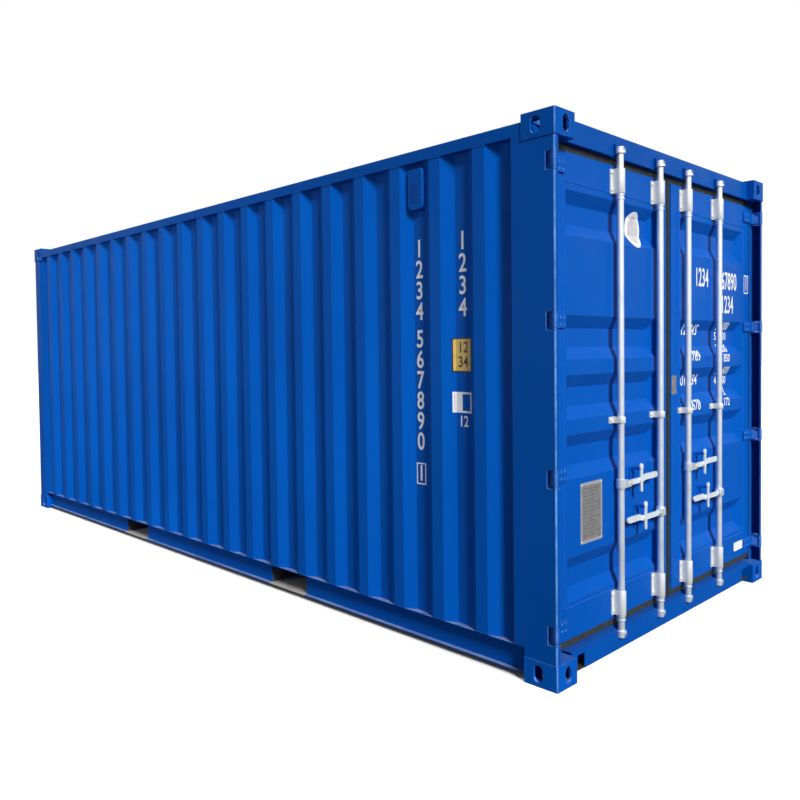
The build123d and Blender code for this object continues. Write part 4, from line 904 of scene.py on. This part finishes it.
# Left leaf: a bare data plate with rivets and engraved lines, and a bare oval label
PLATE_X, PLATE_Z = -0.8185, 0.746
PLATE_THICKNESS = 0.0015
PLATE_RIVET, PLATE_RIVET_X, PLATE_RIVET_Z = 0.004, 0.090, 0.137
LINE_COUNT, LINE_PITCH, LINE_TOP = 14, 0.0175, 0.115
LINE_LENGTHS = (0.150, 0.110, 0.135, 0.090)
plate_rim = [(0, 0, 0.197, 0.292, PLATE_THICKNESS, 0.006)]
film("data_plate", "left_leaf", PLATE_X, PLATE_Z, plate_rim, PALE_PLATE, 0.0)
plate_field = [(0, 0, 0.171, 0.262, 0.0003, 0.003)]
film("data_plate_field", "left_leaf", PLATE_X, PLATE_Z, plate_field, GREY_PLATE, PLATE_THICKNESS)
lines = []
for row in range(LINE_COUNT):
    length = LINE_LENGTHS[row % len(LINE_LENGTHS)]
    from_middle = (length - LINE_LENGTHS[0]) / 2
    lines.append((from_middle, LINE_TOP - row * LINE_PITCH, length, 0.0045, 0.0003, 0.0008))
film("data_plate_lines", "left_leaf", PLATE_X, PLATE_Z, lines, LINE_MARK, 0.0018)
shape = bmesh.new()
for dx in (-PLATE_RIVET_X, PLATE_RIVET_X):
    for dz in (-PLATE_RIVET_Z, PLATE_RIVET_Z):
        centre = Vector((PLATE_X + dx, LEAF_FACE - PLATE_THICKNESS, PLATE_Z + dz))
        rivet_head(shape, centre, DOOR_OUT, PLATE_RIVET)
finish_piece("data_plate_rivets", shape, "left_door", ZINC_STEEL)
OVAL_X, OVAL_Z = -0.349, 2.146
oval("oval_label", "left_leaf", OVAL_X, OVAL_Z, 0.159, 0.187, 0.0006, WHITE_MARK, 0.0002)
oval("oval_field", "left_leaf", OVAL_X + 0.006, OVAL_Z, 0.112, 0.140, 0.0004, PALE_FIELD, 0.0008)

# Right leaf: rows of plain numerals (text, place across, level, height and width share), a small plate
# on its inner stile and a bare label
door_rows = [
    ("1234", 0.430, 1.936, 0.104, 0.62),
    ("567890", 0.805, 1.932, 0.104, 0.62),
    ("1", 1.100, 1.932, 0.084, 0.62),
    ("1234", 0.800, 1.787, 0.104, 0.62),
]
left_texts = ("12 345", "6 789", "01 234", "5 678")
left_levels = (1.630, 1.478, 1.336, 1.190)
for text, level in zip(left_texts, left_levels):
    door_rows.append((text, 0.325, level, 0.058, 0.95))
right_texts = ("24 000", "52 910", "2 200", "4 850", "21 800", "48 060", "33 2", "1 172")
right_levels = (1.657, 1.595, 1.520, 1.459, 1.381, 1.320, 1.251, 1.186)
for text, level in zip(right_texts, right_levels):
    door_rows.append((text, 0.770, level, 0.046, 0.95))
for row, (text, x, z, height, width) in enumerate(door_rows):
    numerals(f"door_numerals_{row + 1}", text, height, "right_leaf", x, z, width=width)
film("door_check_frame", "right_leaf", 1.100, 1.932, outline(0.070, 0.118, 0.007), WHITE_MARK)
film("inner_plate", "right_leaf", 0.066, 1.322, [(0, 0, 0.060, 0.105, 0.0010, 0.004)], GREY_PLATE, 0.0)
film("door_label", "right_leaf", 0.985, 0.248, [(0, 0, 0.150, 0.055, 0.0004, 0.003)], WHITE_MARK, 0.0)

# Flat heads of the pivot bolts in the clevises
for number, (rod_x, toward, level) in enumerate(LOCK_RODS):
    rod = f"lock_rod_{number + 1}"
    shape = bmesh.new()
    pivot = Vector((rod_x + toward * PIVOT_FROM_ROD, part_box(rod)[0].y, level))
    ring_stack(shape, facing(pivot, DOOR_OUT), PIVOT_HEAD, 6)
    finish_piece(f"{rod}_pivot_bolt", shape, rod, BRASSY_ZINC)

# Floor, light and camera; the floor's glow fades out beneath the container, a painted shadow under its
# footprint
FLOOR_HALF, FLOOR_DROP = 60.0, 0.001
FLOOR_GLOW = 0.50
PAINTED_SHADOW_X = (1.185, 1.215)
PAINTED_SHADOW_Y = (2.86, 2.92)
SKY_STRENGTH = 0.09
shape = bmesh.new()
bmesh.ops.create_grid(shape, x_segments=8, y_segments=8, size=FLOOR_HALF)
mesh = bpy.data.meshes.new("studio_floor")
shape.to_mesh(mesh)
shape.free()
studio_floor = bpy.data.objects.new("studio_floor", mesh)
studio_floor.location.z = -FLOOR_DROP
scene.collection.objects.link(studio_floor)
floor_material = bpy.data.materials.new("studio_floor")
floor_material.use_nodes = True
tree = floor_material.node_tree
tree.nodes.clear()
path = tree.nodes.new("ShaderNodeLightPath")
plain = tree.nodes.new("ShaderNodeBsdfDiffuse")
plain.inputs["Color"].default_value = (*FLOOR_WHITE, 1.0)
glow = tree.nodes.new("ShaderNodeEmission")
from_middle = tree.nodes.new("ShaderNodeVectorMath")
from_middle.operation = "ABSOLUTE"
tree.links.new(own_coordinates(tree), from_middle.inputs[0])
reach = parts_of(tree, from_middle.outputs["Vector"])
# Painted shadow: no glow within the container's footprint, so the floor there shows darker
painted_shadow_across = fade(tree, reach["X"], *PAINTED_SHADOW_X, 1.0, 0.0)
painted_shadow_along = fade(tree, reach["Y"], *PAINTED_SHADOW_Y, 1.0, 0.0)
painted_shadow = times(tree, painted_shadow_across, painted_shadow_along)
tree.links.new(fade(tree, painted_shadow, 0.0, 1.0, FLOOR_GLOW, 0.0), glow.inputs["Strength"])
lit = tree.nodes.new("ShaderNodeAddShader")
bounce = tree.nodes.new("ShaderNodeBsdfDiffuse")
bounce.inputs["Color"].default_value = (*FLOOR_BOUNCE, 1.0)
choice = tree.nodes.new("ShaderNodeMixShader")
output = tree.nodes.new("ShaderNodeOutputMaterial")
tree.links.new(plain.outputs["BSDF"], lit.inputs[0])
tree.links.new(glow.outputs["Emission"], lit.inputs[1])
tree.links.new(path.outputs["Is Camera Ray"], choice.inputs["Fac"])
tree.links.new(bounce.outputs["BSDF"], choice.inputs[1])
tree.links.new(lit.outputs["Shader"], choice.inputs[2])
tree.links.new(choice.outputs["Shader"], output.inputs["Surface"])
mesh.materials.append(floor_material)

world = bpy.data.worlds.new("studio")
scene.world = world
world.use_nodes = True
tree = world.node_tree
tree.nodes.clear()
path = tree.nodes.new("ShaderNodeLightPath")
seen = tree.nodes.new("ShaderNodeMath")
seen.operation = "MAXIMUM"
clear = tree.nodes.new("ShaderNodeMath")
clear.operation = "MAXIMUM"
backdrop = tree.nodes.new("ShaderNodeBackground")
backdrop.inputs["Color"].default_value = (1.0, 1.0, 1.0, 1.0)
backdrop.inputs["Strength"].default_value = 1.0
ambient = tree.nodes.new("ShaderNodeBackground")
ambient.inputs["Color"].default_value = (*SKY_TINT, 1.0)
ambient.inputs["Strength"].default_value = SKY_STRENGTH
choice = tree.nodes.new("ShaderNodeMixShader")
output = tree.nodes.new("ShaderNodeOutputWorld")
tree.links.new(path.outputs["Is Camera Ray"], seen.inputs[0])
tree.links.new(path.outputs["Is Glossy Ray"], seen.inputs[1])
tree.links.new(seen.outputs["Value"], clear.inputs[0])
tree.links.new(path.outputs["Is Transmission Ray"], clear.inputs[1])
tree.links.new(clear.outputs["Value"], choice.inputs["Fac"])
tree.links.new(ambient.outputs["Background"], choice.inputs[1])
tree.links.new(backdrop.outputs["Background"], choice.inputs[2])
tree.links.new(choice.outputs["Shader"], output.inputs["Surface"])


def sun(name, towards_light, strength, spread):
    """A soft distant lamp."""
    lamp = bpy.data.lights.new(name, "SUN")
    lamp.energy = strength
    lamp.angle = math.radians(spread)
    placed = bpy.data.objects.new(name, lamp)
    placed.rotation_euler = Vector(towards_light).to_track_quat("Z", "Y").to_euler()
    scene.collection.objects.link(placed)


def panel_lamp(name, place, towards, width, height, power):
    """A soft rectangular lamp that the camera doesn't see."""
    lamp = bpy.data.lights.new(name, "AREA")
    lamp.shape = "RECTANGLE"
    lamp.size = width
    lamp.size_y = height
    lamp.energy = power
    placed = bpy.data.objects.new(name, lamp)
    placed.location = place
    placed.rotation_euler = (Vector(place) - Vector(towards)).to_track_quat("Z", "Y").to_euler()
    placed.visible_camera = False
    scene.collection.objects.link(placed)


sun("key", (-0.285, -0.78, 0.556), 3.66, 15.0)
panel_lamp("side", (-6.0, 1.7, 2.2), (-1.2, 1.7, 1.3), 3.0, 3.0, 44.0)
sun("fill", (0.70, 0.62, 0.35), 1.9, 40.0)

# Camera at the photograph's place: its turn, rise and roll, focal length and the frame's shift
CAMERA_PLACE = Vector((-4.1367, -4.9018, 1.5364))
CAMERA_TURN = math.radians(-43.2768)
CAMERA_RISE = math.radians(1.7403)
CAMERA_ROLL = math.radians(-0.7455)
back = Vector((
    math.sin(CAMERA_TURN) * math.cos(CAMERA_RISE),
    -math.cos(CAMERA_TURN) * math.cos(CAMERA_RISE),
    math.sin(CAMERA_RISE),
))
level_right = (-back).cross(Vector((0, 0, 1))).normalized()
level_up = level_right.cross(-back).normalized()
right = math.cos(CAMERA_ROLL) * level_right + math.sin(CAMERA_ROLL) * level_up
up = math.cos(CAMERA_ROLL) * level_up - math.sin(CAMERA_ROLL) * level_right
lens = bpy.data.cameras.new("photo_camera")
lens.sensor_width = 36.0
lens.lens = 34.54
lens.shift_x = 0.0446
lens.shift_y = -0.0326
lens.clip_end = 300.0
camera = bpy.data.objects.new("photo_camera", lens)
camera.matrix_world = Matrix.Translation(CAMERA_PLACE) @ Matrix((right, up, back)).transposed().to_4x4()
scene.collection.objects.link(camera)
scene.camera = camera
scene.view_settings.view_transform = "Standard"

bpy.context.view_layer.update()
